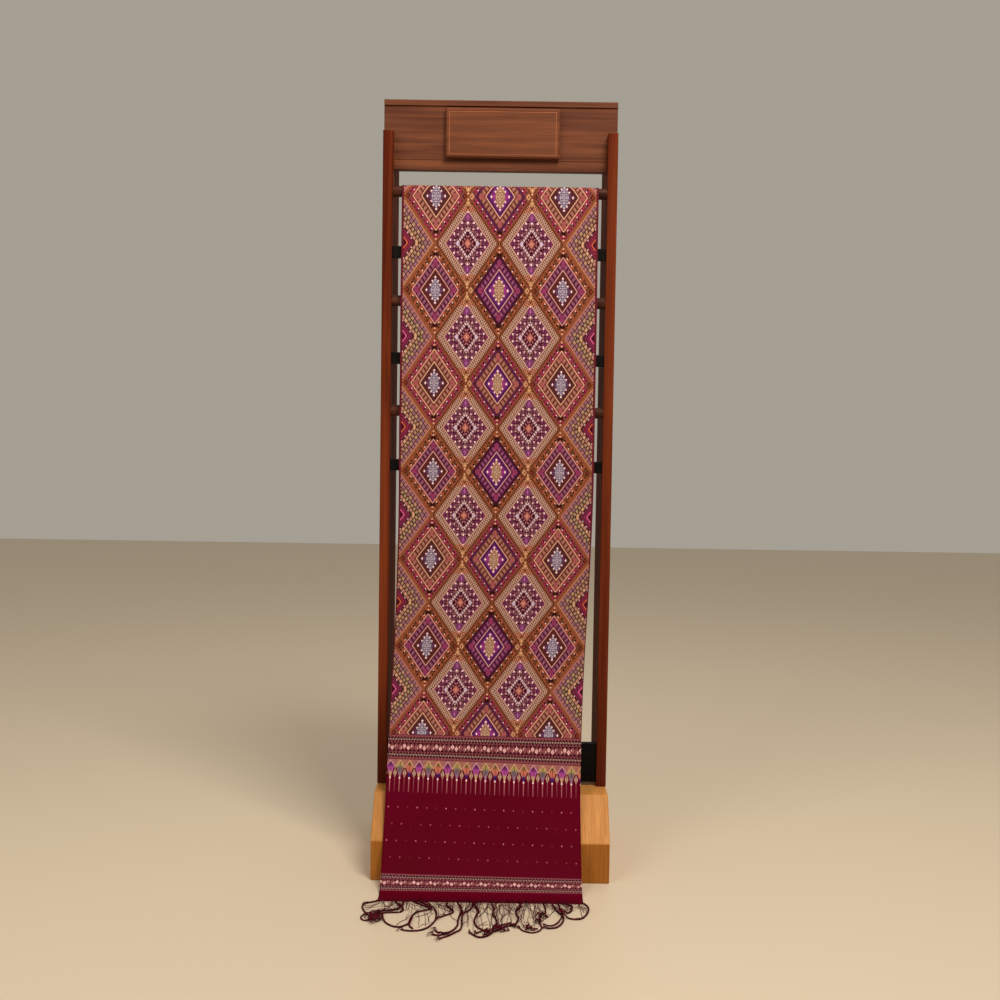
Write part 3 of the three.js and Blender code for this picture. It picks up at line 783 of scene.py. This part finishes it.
# Half lozenges along the selvedges: four nested rows of small squares round a few white knots and bright
# chevrons
square_turn = ((slip + 0.5) / 9).whole() % 2
row_one = mixed(square_turn, (168, 112, 112), (146, 100, 116))
row_two = mixed(square_turn, (146, 102, 112), (178, 138, 110))
row_three = mixed(square_turn, (176, 142, 108), mixed(odd_pale_row, (160, 118, 96), (150, 132, 98)))
square = slip.every(9, 4) < 3.9
chevrons = woven(
    (70, 34, 40),
    (square & ring.between(46, 51), row_one),
    (square & ring.between(38, 43), row_two),
    ((slip.every(9, -0.5) < 2.8) & ring.between(30, 35), row_three),
    (square & ring.between(22, 27), mixed(square_turn, (202, 154, 120), (180, 126, 110))),
    ((slip.every(14, 8) < 1.6) & ring.between(18, 20), (228, 184, 192)),
    (ring.between(0, 16), mixed(odd_pale_row, (140, 46, 74), (130, 48, 84))),
    (ring.between(13, 14), (80, 14, 34)),
    (ring.between(0, 9), (60, 14, 30)),
    (ring.between(5, 7), mixed(odd_pale_row, (196, 90, 66), (210, 90, 140))),
    (ring.between(53, 54), mixed(odd_pale_row, (212, 144, 104), (206, 130, 118))),
)
field = mixed(side_half, field, chevrons)

# The lattice between the lozenges: a narrow orange-brown band, flecked along its middle
lattice = (in_deep & (ring > 56.5)) | (pale & (ring > 58.5) & ~tip) | (side_half & (ring > 55.5))
field = woven(
    field,
    (lattice, (146, 84, 56)),
    (lattice & ring.between(59, 60) & (slip % 4 < 1.5), (104, 52, 32)),
    (lattice & in_deep & (ring < 58.5) & (slip % 4 < 1.5), (112, 54, 38)),
)

# End borders. Heights are millimetres from the nearer hem, and block_over counts blocks across.
WEFT_BLOCK_MM = 1.4
WARP_BLOCK_MM = 1.375
BAND_GROUND = (134, 70, 78)
BAND_PALE = (176, 112, 112)
BAND_ROWS = 71
DIAMOND_MM = 10.4
hem_mm = (end_distance * 1000 / WEFT_BLOCK_MM).whole() * WEFT_BLOCK_MM
block_over = (cloth_across * (1000 / WARP_BLOCK_MM)).whole()
over_mm = block_over * WARP_BLOCK_MM + 0.7


def border_band(ground, low, high):
    """A band of two rows of small checks with a row of crossing diamonds between, and fine lines."""
    up = (hem_mm - low) * (BAND_ROWS / (high - low))
    inside = (hem_mm > low) & (hem_mm < high)
    band = mixed(inside, ground, BAND_GROUND)
    for row_low in (6.0, 49.0):
        row_up = up - row_low
        in_row = (row_up > 0) & (row_up < 15.5)
        square = ((block_over % 6) < 3) & (row_up > 0) & (row_up < 5.0)
        square = square | (((block_over % 6) > 2.5) & (row_up > 10.4) & (row_up < 15.5))
        bead = (block_over.every(3, 1) < 0.75) & (row_up > 5.2) & (row_up < 9.8)
        band = woven(
            band,
            (inside & in_row & (row_up > 4.5) & (row_up < 10.8), THREADS["dark"]),
            (inside & square, THREADS["dark"]),
            (inside & bead, (226, 178, 166)),
        )
    middle_rows = (up > 24.5) & (up < 46.5)
    notch = (over_mm.every(DIAMOND_MM, DIAMOND_MM / 2) + (~abs((up - 35.5) / 11.5)) * 7.4) < 4.2
    figure_up = up - 38 + ((over_mm / DIAMOND_MM + 0.5).whole() % 2) * 5
    rising = over_mm.every(DIAMOND_MM) + abs(figure_up) * 0.72
    bright = over_mm.every(4 * DIAMOND_MM, DIAMOND_MM / 2) < 14
    band = woven(
        band,
        (inside & middle_rows, (120, 58, 66)),
        (inside & middle_rows & notch, THREADS["dark"]),
        (inside & middle_rows & (rising < 4.8), mixed(bright, (152, 88, 92), (232, 184, 180))),
        (inside & middle_rows & (rising < 1.7), mixed(bright, (112, 54, 60), BAND_PALE)),
    )
    for at in (1.0, 23.5, 47.5, 70.0):
        band = mixed(inside & up.near(at, 0.8), band, THREADS["maroon"])
    return band


# Plain silk near the hems, with sparse woven specks in staggered rows
# The plain silk drifts softly between a purplish and a deeper red crimson over the cloth: a painted sheen
painted_sheen_drift = added(weave, "ShaderNodeTexNoise", {"Vector": weave_uv, "Scale": 5.0, "Detail": 1.5})
plain = mixed(Count(painted_sheen_drift.outputs["Fac"]), (98, 0, 32), (84, 0, 14))
BUD_PITCH = 24.6
REPEAT = 3 * BUD_PITCH
BUD_START = 5.0
BUD_FOOT = 328.8
speck_mm = end_distance * 1000
true_over = cloth_across * 1000
SPECKS = [
    {"up": 134.5, "start": 16.0, "faint": -1, "colour": (176, 84, 100)},
    {"up": 175.5, "start": -19.6, "faint": 1, "colour": (200, 122, 134)},
    {"up": 217.0, "start": 16.0, "faint": -1, "colour": (184, 94, 110)},
    {"up": 258.5, "start": -19.6, "faint": 1, "colour": (204, 122, 138)},
]
for speck in SPECKS:
    level = abs(speck_mm - speck["up"]) < 1.6
    for step_on, strength in ((speck["faint"], 0.5), (-speck["faint"], 0.14), (0, 1.0)):
        here = (true_over.every(REPEAT, speck["start"] + BUD_PITCH * step_on) < 1.4) & level
        plain = mixed(here * strength, plain, speck["colour"])

# Buds: a row of pointed buds in three colourings, small cream ones between, and fine lines under their tips
from_bud = true_over.every(BUD_PITCH, BUD_START)
from_small = true_over.every(BUD_PITCH, BUD_START + BUD_PITCH / 2)
bud_turn = (((true_over - BUD_START + BUD_PITCH / 2) / BUD_PITCH).whole() + 10) % 3
bud_up = speck_mm - BUD_FOOT
stripe_zone = (bud_up > -33) & (bud_up < 2)
stripe_fade = (bud_up + 33) / 35
plain = woven(
    plain,
    ((from_bud < 1.1) & stripe_zone & (stripe_fade * 0.45 + 0.38), THREADS["pink"]),
    ((from_small < 0.9) & stripe_zone & (stripe_fade * 0.3 + 0.12), THREADS["pink"]),
)

# Above the small buds a net of fine lines runs from tip to tip
net_zone = (bud_up > 26) & (bud_up < 49)
net_ground = mixed(bud_turn > 0.5, (98, 48, 96), (112, 84, 62))
net_ground = mixed(bud_turn > 1.5, net_ground, (116, 60, 64))
net_rise = (from_bud * 1.55 + bud_up) % 5.2
net_fall = (from_bud * -1.55 + bud_up) % 5.2
chevron_line = abs(bud_up + from_bud * 1.5 - 46.5) < 1.4
plain = woven(
    plain,
    (net_zone, net_ground),
    (net_zone & ((net_rise < 1.6) | (net_fall < 1.6)), (190, 124, 108)),
    (net_zone & chevron_line, (214, 160, 140)),
)

# Each bud is widest about halfway up and drawn in to a long point at its foot
low_share = (bud_up / 33).clipped()
lower_edge = low_share.math("POWER", 1.15) * 9.6 + 0.8
upper_edge = (bud_up * -1 + 45) * 0.68
bud_edge = lower_edge.math("MINIMUM", upper_edge)
in_bud = (bud_edge - from_bud)
bud = (bud_up > 2) & (bud_up < 48) & (in_bud > 0)
bud_level = (bud_up / 3).whole() * 3 + 1.5
high = ((bud_level - 26) / 8).clipped()
middle = ((bud_level - 13) / 7).clipped()
purple_bud = mixed(middle, (196, 158, 122), (176, 74, 156))
purple_bud = mixed(high, purple_bud, (92, 32, 104))
green_bud = mixed(middle, (150, 112, 136), (108, 98, 112))
green_bud = mixed(high, green_bud, (170, 156, 82))
orange_bud = mixed(middle, (56, 32, 104), (206, 112, 96))
leaf_high = ((bud_level - 29) / 6).clipped()
orange_bud = mixed(leaf_high, orange_bud, (122, 104, 56))
bud_colour = mixed(bud_turn > 0.5, purple_bud, green_bud)
petal_line = (abs(from_bud - bud_edge * 0.5) < 0.55) & (bud_up > 8) & (bud_up < 40)
bud_rim = mixed(bud_turn > 0.5, (160, 90, 146), (170, 132, 84))
bud_colour = woven(
    bud_colour,
    (bud_turn > 1.5, orange_bud),
    (petal_line * 0.45, THREADS["maroon"]),
    ((from_bud < 0.9) & (bud_up > 18) & (bud_up < 42), THREADS["earth"]),
    ((in_bud < 1.3) & (bud_up > 20), bud_rim),
)
small_edge = (~abs((bud_up - 13.5) / 11.5)).math("MAXIMUM", 0.0).math("POWER", 0.8) * 5.0
small_bud = (small_edge - from_small) > 0
small_heart = small_bud & ~bud & ((small_edge - from_small) > 1.7)
tip_dot = (from_bud < 1.8) & (abs(bud_up - 1.5) < 2.2)
plain = woven(
    plain,
    (bud, bud_colour),
    (small_bud & ~bud, (166, 130, 122)),
    (small_heart, mixed(from_small < 0.8, (190, 160, 134), THREADS["rust"])),
    (tip_dot, THREADS["white"]),
)
NARROW_BAND = (50.6, 99.3)
WIDE_BAND = (376.9, 448.1)
SELVEDGE_FROM = 0.2482
with_bands = border_band(plain, *NARROW_BAND)
with_bands = border_band(with_bands, *WIDE_BAND)
in_border = end_distance < WIDE_BAND[1] / 1000
selvedge = (abs(cloth_across) > SELVEDGE_FROM) & ~in_border
selvedge_threads = mixed(block_over % 2 < 0.5, THREADS["maroon"], (112, 44, 52))
cloth_colour = mixed(selvedge, mixed(in_border, field, with_bands), selvedge_threads)

# Each block of threads is painted a little lighter or darker at random, a painted sheen, and the weft ribs
# get faint painted shade; the reverse shows duller floats
LIGHT_BLOCK_MM = 1.9
RIB_PITCH = 0.0019
WARP_PITCH = 0.00138
block_place = added(weave, "ShaderNodeCombineXYZ", {
    "X": block_over.socket,
    "Y": (cloth_along * (1000 / LIGHT_BLOCK_MM)).whole().socket,
}).outputs["Vector"]
block_noise = added(weave, "ShaderNodeTexWhiteNoise", {"Vector": block_place}, noise_dimensions="2D")
block_sheen = Count(block_noise.outputs["Value"]) * 0.20 + 0.90
rib = (cloth_along * (2 * math.pi / RIB_PITCH)).math("SINE")
warp_rib = (cloth_across * (2 * math.pi / WARP_PITCH)).math("SINE")
light_taken = (block_sheen * (rib * 0.05 + 0.97)).socket
tone = added(weave, "ShaderNodeVectorMath", {"Vector": cloth_colour, "Scale": light_taken}, operation="SCALE")
reverse_share = Count(added(weave, "ShaderNodeAttribute", {}, attribute_name="reverse").outputs["Fac"])
thread_relief = added(weave, "ShaderNodeBump", {
    "Strength": 0.3,
    "Distance": 0.0004,
    "Height": (rib * 0.5 + warp_rib * 0.3).socket,
})
feed(weave, weave.nodes["Principled BSDF"], {
    "Base Color": mixed(reverse_share * 0.55, tone.outputs["Vector"], (104, 46, 50)),
    "Roughness": 0.62,
    "Specular IOR Level": 0.03,
    "Normal": thread_relief.outputs["Normal"],
})
shawl = add_piece("shawl_cloth", shawl_mesh, silk)
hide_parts("shawl")

# Front fringe: the warp ends of the cloth, left long and twisted into locks, which lie curled and tangled on
# the floor in front of the hem with finer single threads among them.
LOCK_GIRTH = 0.0021
THREAD_GIRTH = 0.0005
TURN_LENGTH = 0.018
STRAND_STEP = 0.0030
TIP_TAPER = 0.6
COURSE_STEP_MM = 3.0
HUMP_REACH = 0.013
HUMP_TOP = 0.010
ROOT_LIFT = 0.0006
TOUCHING = 0.002
REST_SHARE = 1.02
TOP_SHARE = 0.9
HEM_MM = round(1000 * HEM_DEPTH)
ROOT_MM = HEM_MM + 0.4

# Locks from left to right: places on the floor in millimetres, across and out from the feet's front
LOCKS = [
    [(-266, -140), (-287, -152), (-301, -164), (-302, -184), (-296, -205), (-288, -224), (-274, -236)],
    [(-258, -236), (-278, -226), (-296, -234), (-298, -250), (-288, -263), (-276, -256), (-268, -242)],
    [(-204, -140), (-209, -174), (-203, -192), (-208, -209), (-226, -213), (-246, -216), (-264, -228)],
    [(-228, -140), (-218, -165), (-209, -184), (-220, -195), (-237, -203), (-256, -210), (-270, -224)],
    [(-185, -140), (-161, -165), (-143, -180), (-136, -188), (-152, -198), (-170, -210), (-178, -229),
     (-180, -255), (-185, -278), (-195, -292), (-207, -299), (-222, -293), (-238, -274), (-246, -250),
     (-250, -222)],
    [(-178, -240), (-182, -262), (-183, -282), (-180, -296), (-172, -307)],
    [(-170, -140), (-153, -170), (-132, -189), (-124, -212), (-123, -235), (-125, -261), (-133, -287),
     (-143, -305), (-157, -316), (-173, -320), (-188, -318), (-200, -312)],
    [(-100, -140), (-101, -167), (-92, -184), (-84, -198), (-88, -214), (-102, -226), (-115, -242),
     (-124, -262)],
    [(-77, -140), (-67, -183), (-62, -202), (-67, -221), (-71, -251), (-71, -281), (-77, -306),
     (-88, -324), (-100, -335), (-113, -343), (-128, -338)],
    [(-37, -140), (-40, -174), (-49, -198), (-60, -221), (-62, -255), (-61, -284), (-64, -309),
     (-75, -326), (-90, -345), (-101, -354), (-111, -363)],
    [(-88, -332), (-100, -340), (-107, -335), (-115, -325), (-123, -313)],
    [(-28, -140), (-36, -166), (-30, -182), (-23, -201), (-29, -225), (-33, -254), (-29, -283),
     (-21, -299), (-8, -312), (4, -318)],
    [(75, -140), (75, -170), (66, -193), (66, -218), (70, -239), (66, -261), (62, -277), (50, -282),
     (37, -290), (26, -303), (14, -317), (5, -332), (-6, -346), (-21, -350), (-34, -336), (-43, -322)],
    [(53, -262), (43, -274), (29, -281), (19, -296), (12, -312), (0, -321), (-17, -319), (-30, -333)],
    [(7, -140), (11, -188), (10, -218), (17, -244), (20, -270), (19, -297), (10, -312)],
    [(69, -287), (79, -308), (93, -318), (104, -319), (116, -310), (123, -292), (120, -267), (118, -241),
     (124, -218), (134, -202), (135, -179), (132, -140)],
    [(125, -292), (144, -293), (158, -287), (169, -268), (175, -246), (175, -220), (167, -201),
     (160, -182), (155, -159), (153, -140)],
    [(127, -272), (138, -278), (152, -275), (162, -261), (171, -237), (174, -212), (171, -174),
     (167, -140)],
    [(171, -140), (186, -146), (199, -157), (199, -177), (192, -197), (178, -209)],
    [(230, -140), (238, -160), (238, -183), (231, -210), (219, -233), (204, -238), (190, -234),
     (179, -227), (172, -213), (167, -190)],
]

# Single threads that show between the locks
LOOSE_THREADS = [
    [(-254, -140), (-259, -172), (-276, -179), (-294, -180), (-301, -160)],
    [(-236, -140), (-233, -162), (-241, -172), (-257, -174)],
    [(-191, -140), (-191, -176), (-194, -199)],
    [(-200, -140), (-196, -192), (-200, -203)],
    [(-213, -289), (-204, -264), (-190, -248), (-183, -233)],
    [(-162, -297), (-151, -278), (-136, -276), (-129, -276)],
    [(-135, -197), (-143, -213), (-162, -230), (-173, -240)],
    [(-111, -140), (-121, -169), (-104, -188), (-87, -207)],
    [(-134, -212), (-141, -243), (-138, -265)],
    [(-92, -222), (-82, -244), (-73, -266)],
    [(-51, -209), (-46, -239), (-53, -269), (-58, -284)],
    [(-43, -140), (-43, -186), (-35, -200)],
    [(15, -140), (20, -180), (20, -207), (21, -244), (24, -270)],
    [(24, -140), (27, -203), (32, -225), (27, -263)],
    [(39, -140), (43, -190), (37, -221), (29, -259)],
    [(50, -140), (49, -186), (50, -221), (54, -258)],
    [(89, -140), (82, -189), (83, -220), (76, -235)],
    [(98, -140), (101, -204), (105, -234)],
    [(113, -140), (107, -192), (108, -222)],
    [(140, -140), (140, -167), (134, -187)],
    [(129, -214), (140, -229), (149, -202), (160, -186)],
    [(73, -224), (77, -239), (69, -268)],
    [(87, -253), (95, -271), (92, -300)],
    [(216, -140), (223, -168), (226, -195)],
    [(-17, -140), (-10, -192), (4, -219), (11, -233)],
    [(-23, -235), (-14, -208), (-7, -188), (1, -140)],
    [(-23, -290), (-15, -271), (-3, -256)],
    [(-15, -282), (-5, -275), (0, -275)],
    [(96, -230), (108, -234), (119, -214)],
]

# Places where the ends have tangled: middle and radius in millimetres, and how many loops lie there
TANGLES = [
    {"across": -269, "out": -247, "radius": 16, "loops": 9, "seed": 3},
    {"across": -264, "out": -264, "radius": 11, "loops": 8, "seed": 5},
    {"across": 126, "out": -228, "radius": 10, "loops": 5, "seed": 8},
    {"across": 176, "out": -206, "radius": 7, "loops": 4, "seed": 12},
    {"across": -2, "out": -330, "radius": 10, "loops": 6, "seed": 21},
    {"across": 30, "out": -304, "radius": 13, "loops": 6, "seed": 33},
    {"across": 62, "out": -288, "radius": 9, "loops": 4, "seed": 40},
    {"across": 98, "out": -300, "radius": 14, "loops": 5, "seed": 47},
    {"across": 118, "out": -262, "radius": 10, "loops": 4, "seed": 52},
]
FRAYED_ENDS = [(-128, -338), (-111, -363), (-123, -313), (-43, -322), (-200, -312), (-30, -333)]
STRAY_ENDS = 5
chance = random.Random(41)


def smooth_course(points, step):
    """Places along a soft curve through the given ones, step apart."""
    given = np.array(points, dtype=float)
    padded = np.concatenate([[2 * given[0] - given[1]], given, [2 * given[-1] - given[-2]]])
    places = []
    for a, b, c, d in zip(padded, padded[1:], padded[2:], padded[3:]):
        count = max(2, int(np.linalg.norm(c - b) / step))
        for t in np.linspace(0, 1, count, endpoint=False):
            places.append(0.5 * (
                2 * b + (c - a) * t + (2 * a - 5 * b + 4 * c - d) * t ** 2 + (3 * b - a - 3 * c + d) * t ** 3
            ))
    places.append(given[-1])
    return np.array(places)


laid = np.zeros((0, 3))
strands = []


def lay(points, girth):
    """Lay one strand on the floor, in a low hump over those already there."""
    global laid
    flat = smooth_course(points, COURSE_STEP_MM) / 1000
    flat[:, 1] += FEET_FRONT
    lift = np.zeros(len(flat))
    if len(laid):
        distance = np.linalg.norm(flat[:, None, :] - laid[None, :, :2], axis=2)
        closeness = np.clip(1 - (distance - TOUCHING) / HUMP_REACH, 0, 1)
        lift = (laid[None, :, 2] * closeness ** 2 * (3 - 2 * closeness)).max(axis=1)
        lift = np.minimum(lift, HUMP_TOP)
        lift[0] = min(lift[0], ROOT_LIFT)
    rest = lift + girth * REST_SHARE
    strands.append((np.column_stack([flat, rest]), girth))
    laid = np.concatenate([laid, np.column_stack([flat, rest + girth * TOP_SHARE])])


for course_points in LOCKS:
    lay(course_points, LOCK_GIRTH * chance.uniform(0.85, 1.15))
for tangle in TANGLES:
    draw = random.Random(tangle["seed"])
    for _ in range(tangle["loops"]):
        lean = draw.uniform(0, math.pi)
        long_radius = tangle["radius"] * draw.uniform(0.55, 1.3)
        short_radius = long_radius * draw.uniform(0.25, 0.9)
        middle_x = tangle["across"] + draw.uniform(-0.6, 0.6) * tangle["radius"]
        middle_y = tangle["out"] + draw.uniform(-0.6, 0.6) * tangle["radius"]
        waver = draw.uniform(0, 6)
        loop_points = []
        for part_turn in np.linspace(0, draw.uniform(2.6, 5.4), 9):
            swell = 1 + 0.28 * math.sin(2.6 * part_turn + waver)
            x = long_radius * swell * math.cos(part_turn)
            y = short_radius * swell * math.sin(part_turn)
            loop_points.append((
                middle_x + x * math.cos(lean) - y * math.sin(lean),
                middle_y + x * math.sin(lean) + y * math.cos(lean),
            ))
        lay(loop_points, LOCK_GIRTH * draw.uniform(0.4, 0.8))
for course_points in LOOSE_THREADS:
    lay(course_points, THREAD_GIRTH * chance.uniform(1.0, 1.5))

# Every lock that reaches the hem is fed by threads that fan in to it from there
FEEDING_PITCH = 3.1
NEAREST_LOCK_ODDS = 0.8
hem_locks = [lock for lock in LOCKS if HEM_MM in (lock[0][1], lock[-1][1])]
from_hem = [lock if lock[0][1] == HEM_MM else lock[::-1] for lock in hem_locks]
hem_courses = [smooth_course(lock, COURSE_STEP_MM) for lock in from_hem]
hem_middle_mm = 1000 * STRAY_FLOOR
hem_half_mm = 1000 * FRONT_END_WIDTH / 2
root_x = hem_middle_mm - hem_half_mm + 2
while root_x < hem_middle_mm + hem_half_mm - 1:
    nearest = sorted(hem_courses, key=lambda lock: abs(lock[0][0] - root_x))[:2]
    chosen = nearest[0] if chance.random() < NEAREST_LOCK_ODDS else nearest[1]
    spread = abs(chosen[0][0] - root_x)
    early_or_late = chance.choice((chance.uniform(9, 15), chance.uniform(16, 34)))
    join = min(len(chosen) - 4, int(early_or_late + spread / 4))
    target = chosen[join]
    after = chosen[min(join + 5, len(chosen) - 1)]
    bow = chance.uniform(-3, 3)
    lay([
        (root_x, ROOT_MM),
        (root_x + bow * 0.4 + (target[0] - root_x) * 0.22, HEM_MM + (target[1] - HEM_MM) * 0.33),
        (root_x + bow + (target[0] - root_x) * 0.62, HEM_MM + (target[1] - HEM_MM) * 0.7),
        tuple(target),
        tuple(after),
    ], THREAD_GIRTH * chance.uniform(0.8, 1.3))
    root_x += FEEDING_PITCH * chance.uniform(0.6, 1.4)

# Long fine threads that run from the hem down to the outer locks
LONG_THREADS = [
    {"hem": (-74, -22), "end": (-64, -10), "out": -302, "count": 8},
    {"hem": (-8, 60), "end": (0, 46), "out": -298, "count": 10},
    {"hem": (66, 126), "end": (80, 120), "out": -288, "count": 8},
    {"hem": (-200, -150), "end": (-196, -130), "out": -286, "count": 5},
]
BENDS_AT = (0.25, 0.5, 0.75)
for group in LONG_THREADS:
    for number in range(group["count"]):
        place = (number + chance.uniform(0.1, 0.9)) / group["count"]
        root = group["hem"][0] + (group["hem"][1] - group["hem"][0]) * place
        end = group["end"][0] + (group["end"][1] - group["end"][0]) * place + chance.uniform(-6, 6)
        out = group["out"] + chance.uniform(-14, 22)
        bends = [root + (end - root) * at + chance.uniform(-4, 4) for at in BENDS_AT]
        depths = [ROOT_MM + (out - ROOT_MM) * at for at in BENDS_AT]
        lay([(root, ROOT_MM), *zip(bends, depths), (end, out)], THREAD_GIRTH * chance.uniform(0.8, 1.3))
for end_x, end_y in FRAYED_ENDS:
    for _ in range(STRAY_ENDS):
        aim = chance.uniform(-0.9, 0.9)
        reach = chance.uniform(8, 17)
        heading = math.atan2(end_y + 250, end_x + 40) + aim
        lay([
            (end_x - 6 * math.cos(heading), end_y - 6 * math.sin(heading)),
            (end_x, end_y),
            (end_x + reach * math.cos(heading), end_y + reach * math.sin(heading)),
        ], THREAD_GIRTH)

# One tree sweeps a three-ply section along every strand and turns it as it goes
PLIES = 3
SECTION_POINTS = 9
PLY_DEPTH = 0.16
twisting = bpy.data.node_groups.new("twisted strands", "GeometryNodeTree")
inputs = {}
for label, kind in (
    ("Courses", "Geometry"),
    ("Turn length", "Float"),
    ("Step", "Float"),
    ("Ply depth", "Float"),
    ("Finish", "Material"),
):
    socket = twisting.interface.new_socket(label, in_out="INPUT", socket_type=f"NodeSocket{kind}")
    inputs[label] = socket.identifier
twisting.interface.new_socket("Strands", in_out="OUTPUT", socket_type="NodeSocketGeometry")
given = added(twisting, "NodeGroupInput", {}).outputs


def calculated(operation, *values):
    return added(twisting, "ShaderNodeMath", dict(enumerate(values)), operation=operation).outputs[0]


stepped = added(twisting, "GeometryNodeResampleCurve", {}, mode="LENGTH")
feed(twisting, stepped, {"Curve": given["Courses"], "Length": given["Step"]})
along_strand = added(twisting, "GeometryNodeSplineParameter", {}).outputs["Length"]
turned_by = calculated("MULTIPLY", calculated("DIVIDE", along_strand, given["Turn length"]), 2 * math.pi)
turned = added(twisting, "GeometryNodeSetCurveTilt", {"Curve": stepped.outputs["Curve"], "Tilt": turned_by})
section = added(twisting, "GeometryNodeCurvePrimitiveCircle", {"Resolution": SECTION_POINTS, "Radius": 1.0})
round_section = added(twisting, "GeometryNodeSplineParameter", {}).outputs["Factor"]
ply_wave = calculated("COSINE", calculated("MULTIPLY", round_section, PLIES * 2 * math.pi))
plied = added(twisting, "GeometryNodeSetPosition", {
    "Geometry": section.outputs["Curve"],
    "Offset": added(twisting, "ShaderNodeVectorMath", {
        0: added(twisting, "GeometryNodeInputPosition", {}).outputs["Position"],
        "Scale": calculated("MULTIPLY", ply_wave, given["Ply depth"]),
    }, operation="SCALE").outputs[0],
})
swept = added(twisting, "GeometryNodeCurveToMesh", {
    "Curve": turned.outputs["Curve"],
    "Profile Curve": plied.outputs["Geometry"],
    "Scale": added(twisting, "GeometryNodeInputRadius", {}).outputs["Radius"],
    "Fill Caps": True,
})
realized = added(twisting, "GeometryNodeRealizeInstances", {"Geometry": swept.outputs["Mesh"]})
finished = added(twisting, "GeometryNodeSetMaterial", {
    "Geometry": realized.outputs["Geometry"],
    "Material": given["Finish"],
})
added(twisting, "NodeGroupOutput", {"Strands": finished.outputs["Geometry"]})

fringe_silk = bpy.data.materials.new("fringe silk")
fringe_silk.use_nodes = True
fringe_tree = fringe_silk.node_tree
fringe_place = added(fringe_tree, "ShaderNodeTexCoord", {}).outputs["Object"]
fringe_noise = added(fringe_tree, "ShaderNodeTexNoise", {"Vector": fringe_place, "Scale": 160, "Detail": 3})
feed(fringe_tree, fringe_tree.nodes["Principled BSDF"], {
    "Base Color": two_tones(fringe_tree, fringe_noise.outputs["Fac"], 0.38, (46, 5, 14), 0.66, (102, 12, 35)),
    "Roughness": 0.55,
    "Specular IOR Level": 0.1,
})


def twist(name, courses):
    """Sweep all the given strands into one plain mesh."""
    curve = bpy.data.curves.new(name + "_courses", "CURVE")
    curve.dimensions = "3D"
    for places, girth in courses:
        spline = curve.splines.new("POLY")
        spline.points.add(len(places) - 1)
        for point, place in zip(spline.points, places):
            point.co = (*place, 1)
            point.radius = girth
        spline.points[-1].radius = girth * TIP_TAPER
    holder = placed(name + "_courses", curve)
    modifier = holder.modifiers.new("twist", "NODES")
    modifier.node_group = twisting
    modifier[inputs["Turn length"]] = TURN_LENGTH
    modifier[inputs["Step"]] = STRAND_STEP
    modifier[inputs["Ply depth"]] = PLY_DEPTH
    modifier[inputs["Finish"]] = fringe_silk
    bpy.context.view_layer.update()
    evaluated = holder.evaluated_get(bpy.context.evaluated_depsgraph_get())
    mesh = bpy.data.meshes.new_from_object(evaluated)
    bpy.data.objects.remove(holder)
    mesh.name = name
    mesh.materials.clear()
    mesh.polygons.foreach_set("use_smooth", np.ones(len(mesh.polygons), dtype=bool))
    piece = add_piece(name, mesh, fringe_silk)
    return piece


front_fringe = twist("front_fringe_silk", strands)
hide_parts("fringe_front")

# Back fringe: the same locks at the other end, out of sight behind the stand, hanging straight down from the
# hem. Each is twisted from the threads that fan in to it.
BACK_LOCKS = 14
BACK_REACH = 0.200
GATHER_DROP = 0.034
THREADS_A_SIDE = 4
LOCK_STEPS = np.linspace(0, 1, 40)
THREAD_STEPS = np.linspace(0, 1, 8)
back_hem = middle_sheet[-1]
back_strands = []
for number in range(BACK_LOCKS):
    place_share = (number + 0.5) / BACK_LOCKS
    hem_point = back_hem[int(round(place_share * COLUMNS))]
    reach = BACK_REACH * chance.uniform(0.9, 1.0)
    sway = chance.uniform(-0.012, 0.006)
    wave = chance.uniform(-0.004, 0.004)
    lock_course = []
    for share_down in LOCK_STEPS:
        lock_course.append((
            hem_point[0] + sway * share_down ** 2 + wave * math.sin(5 * share_down),
            hem_point[1] - 0.0002 + 0.002 * share_down * math.sin(7 * share_down + number),
            hem_point[2] - reach * share_down,
        ))
    back_strands.append((np.array(lock_course), LOCK_GIRTH * 0.8))
    for thread in range(-THREADS_A_SIDE, THREADS_A_SIDE + 1):
        root = np.array(lock_course[0]) + [thread * SHAWL_WIDTH / BACK_LOCKS / (2 * THREADS_A_SIDE + 1), 0, 0]
        drop = GATHER_DROP * chance.uniform(0.8, 1.2)
        target = np.interp(drop / reach, LOCK_STEPS, np.array(lock_course)[:, 0])
        fan = []
        for share_down in THREAD_STEPS:
            eased = share_down ** 2 * (3 - 2 * share_down)
            fan.append((root[0] + (target - root[0]) * eased, root[1], root[2] + 0.0004 - drop * share_down))
        back_strands.append((np.array(fan), THREAD_GIRTH))
back_fringe = twist("back_fringe_silk", back_strands)
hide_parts("fringe_back")
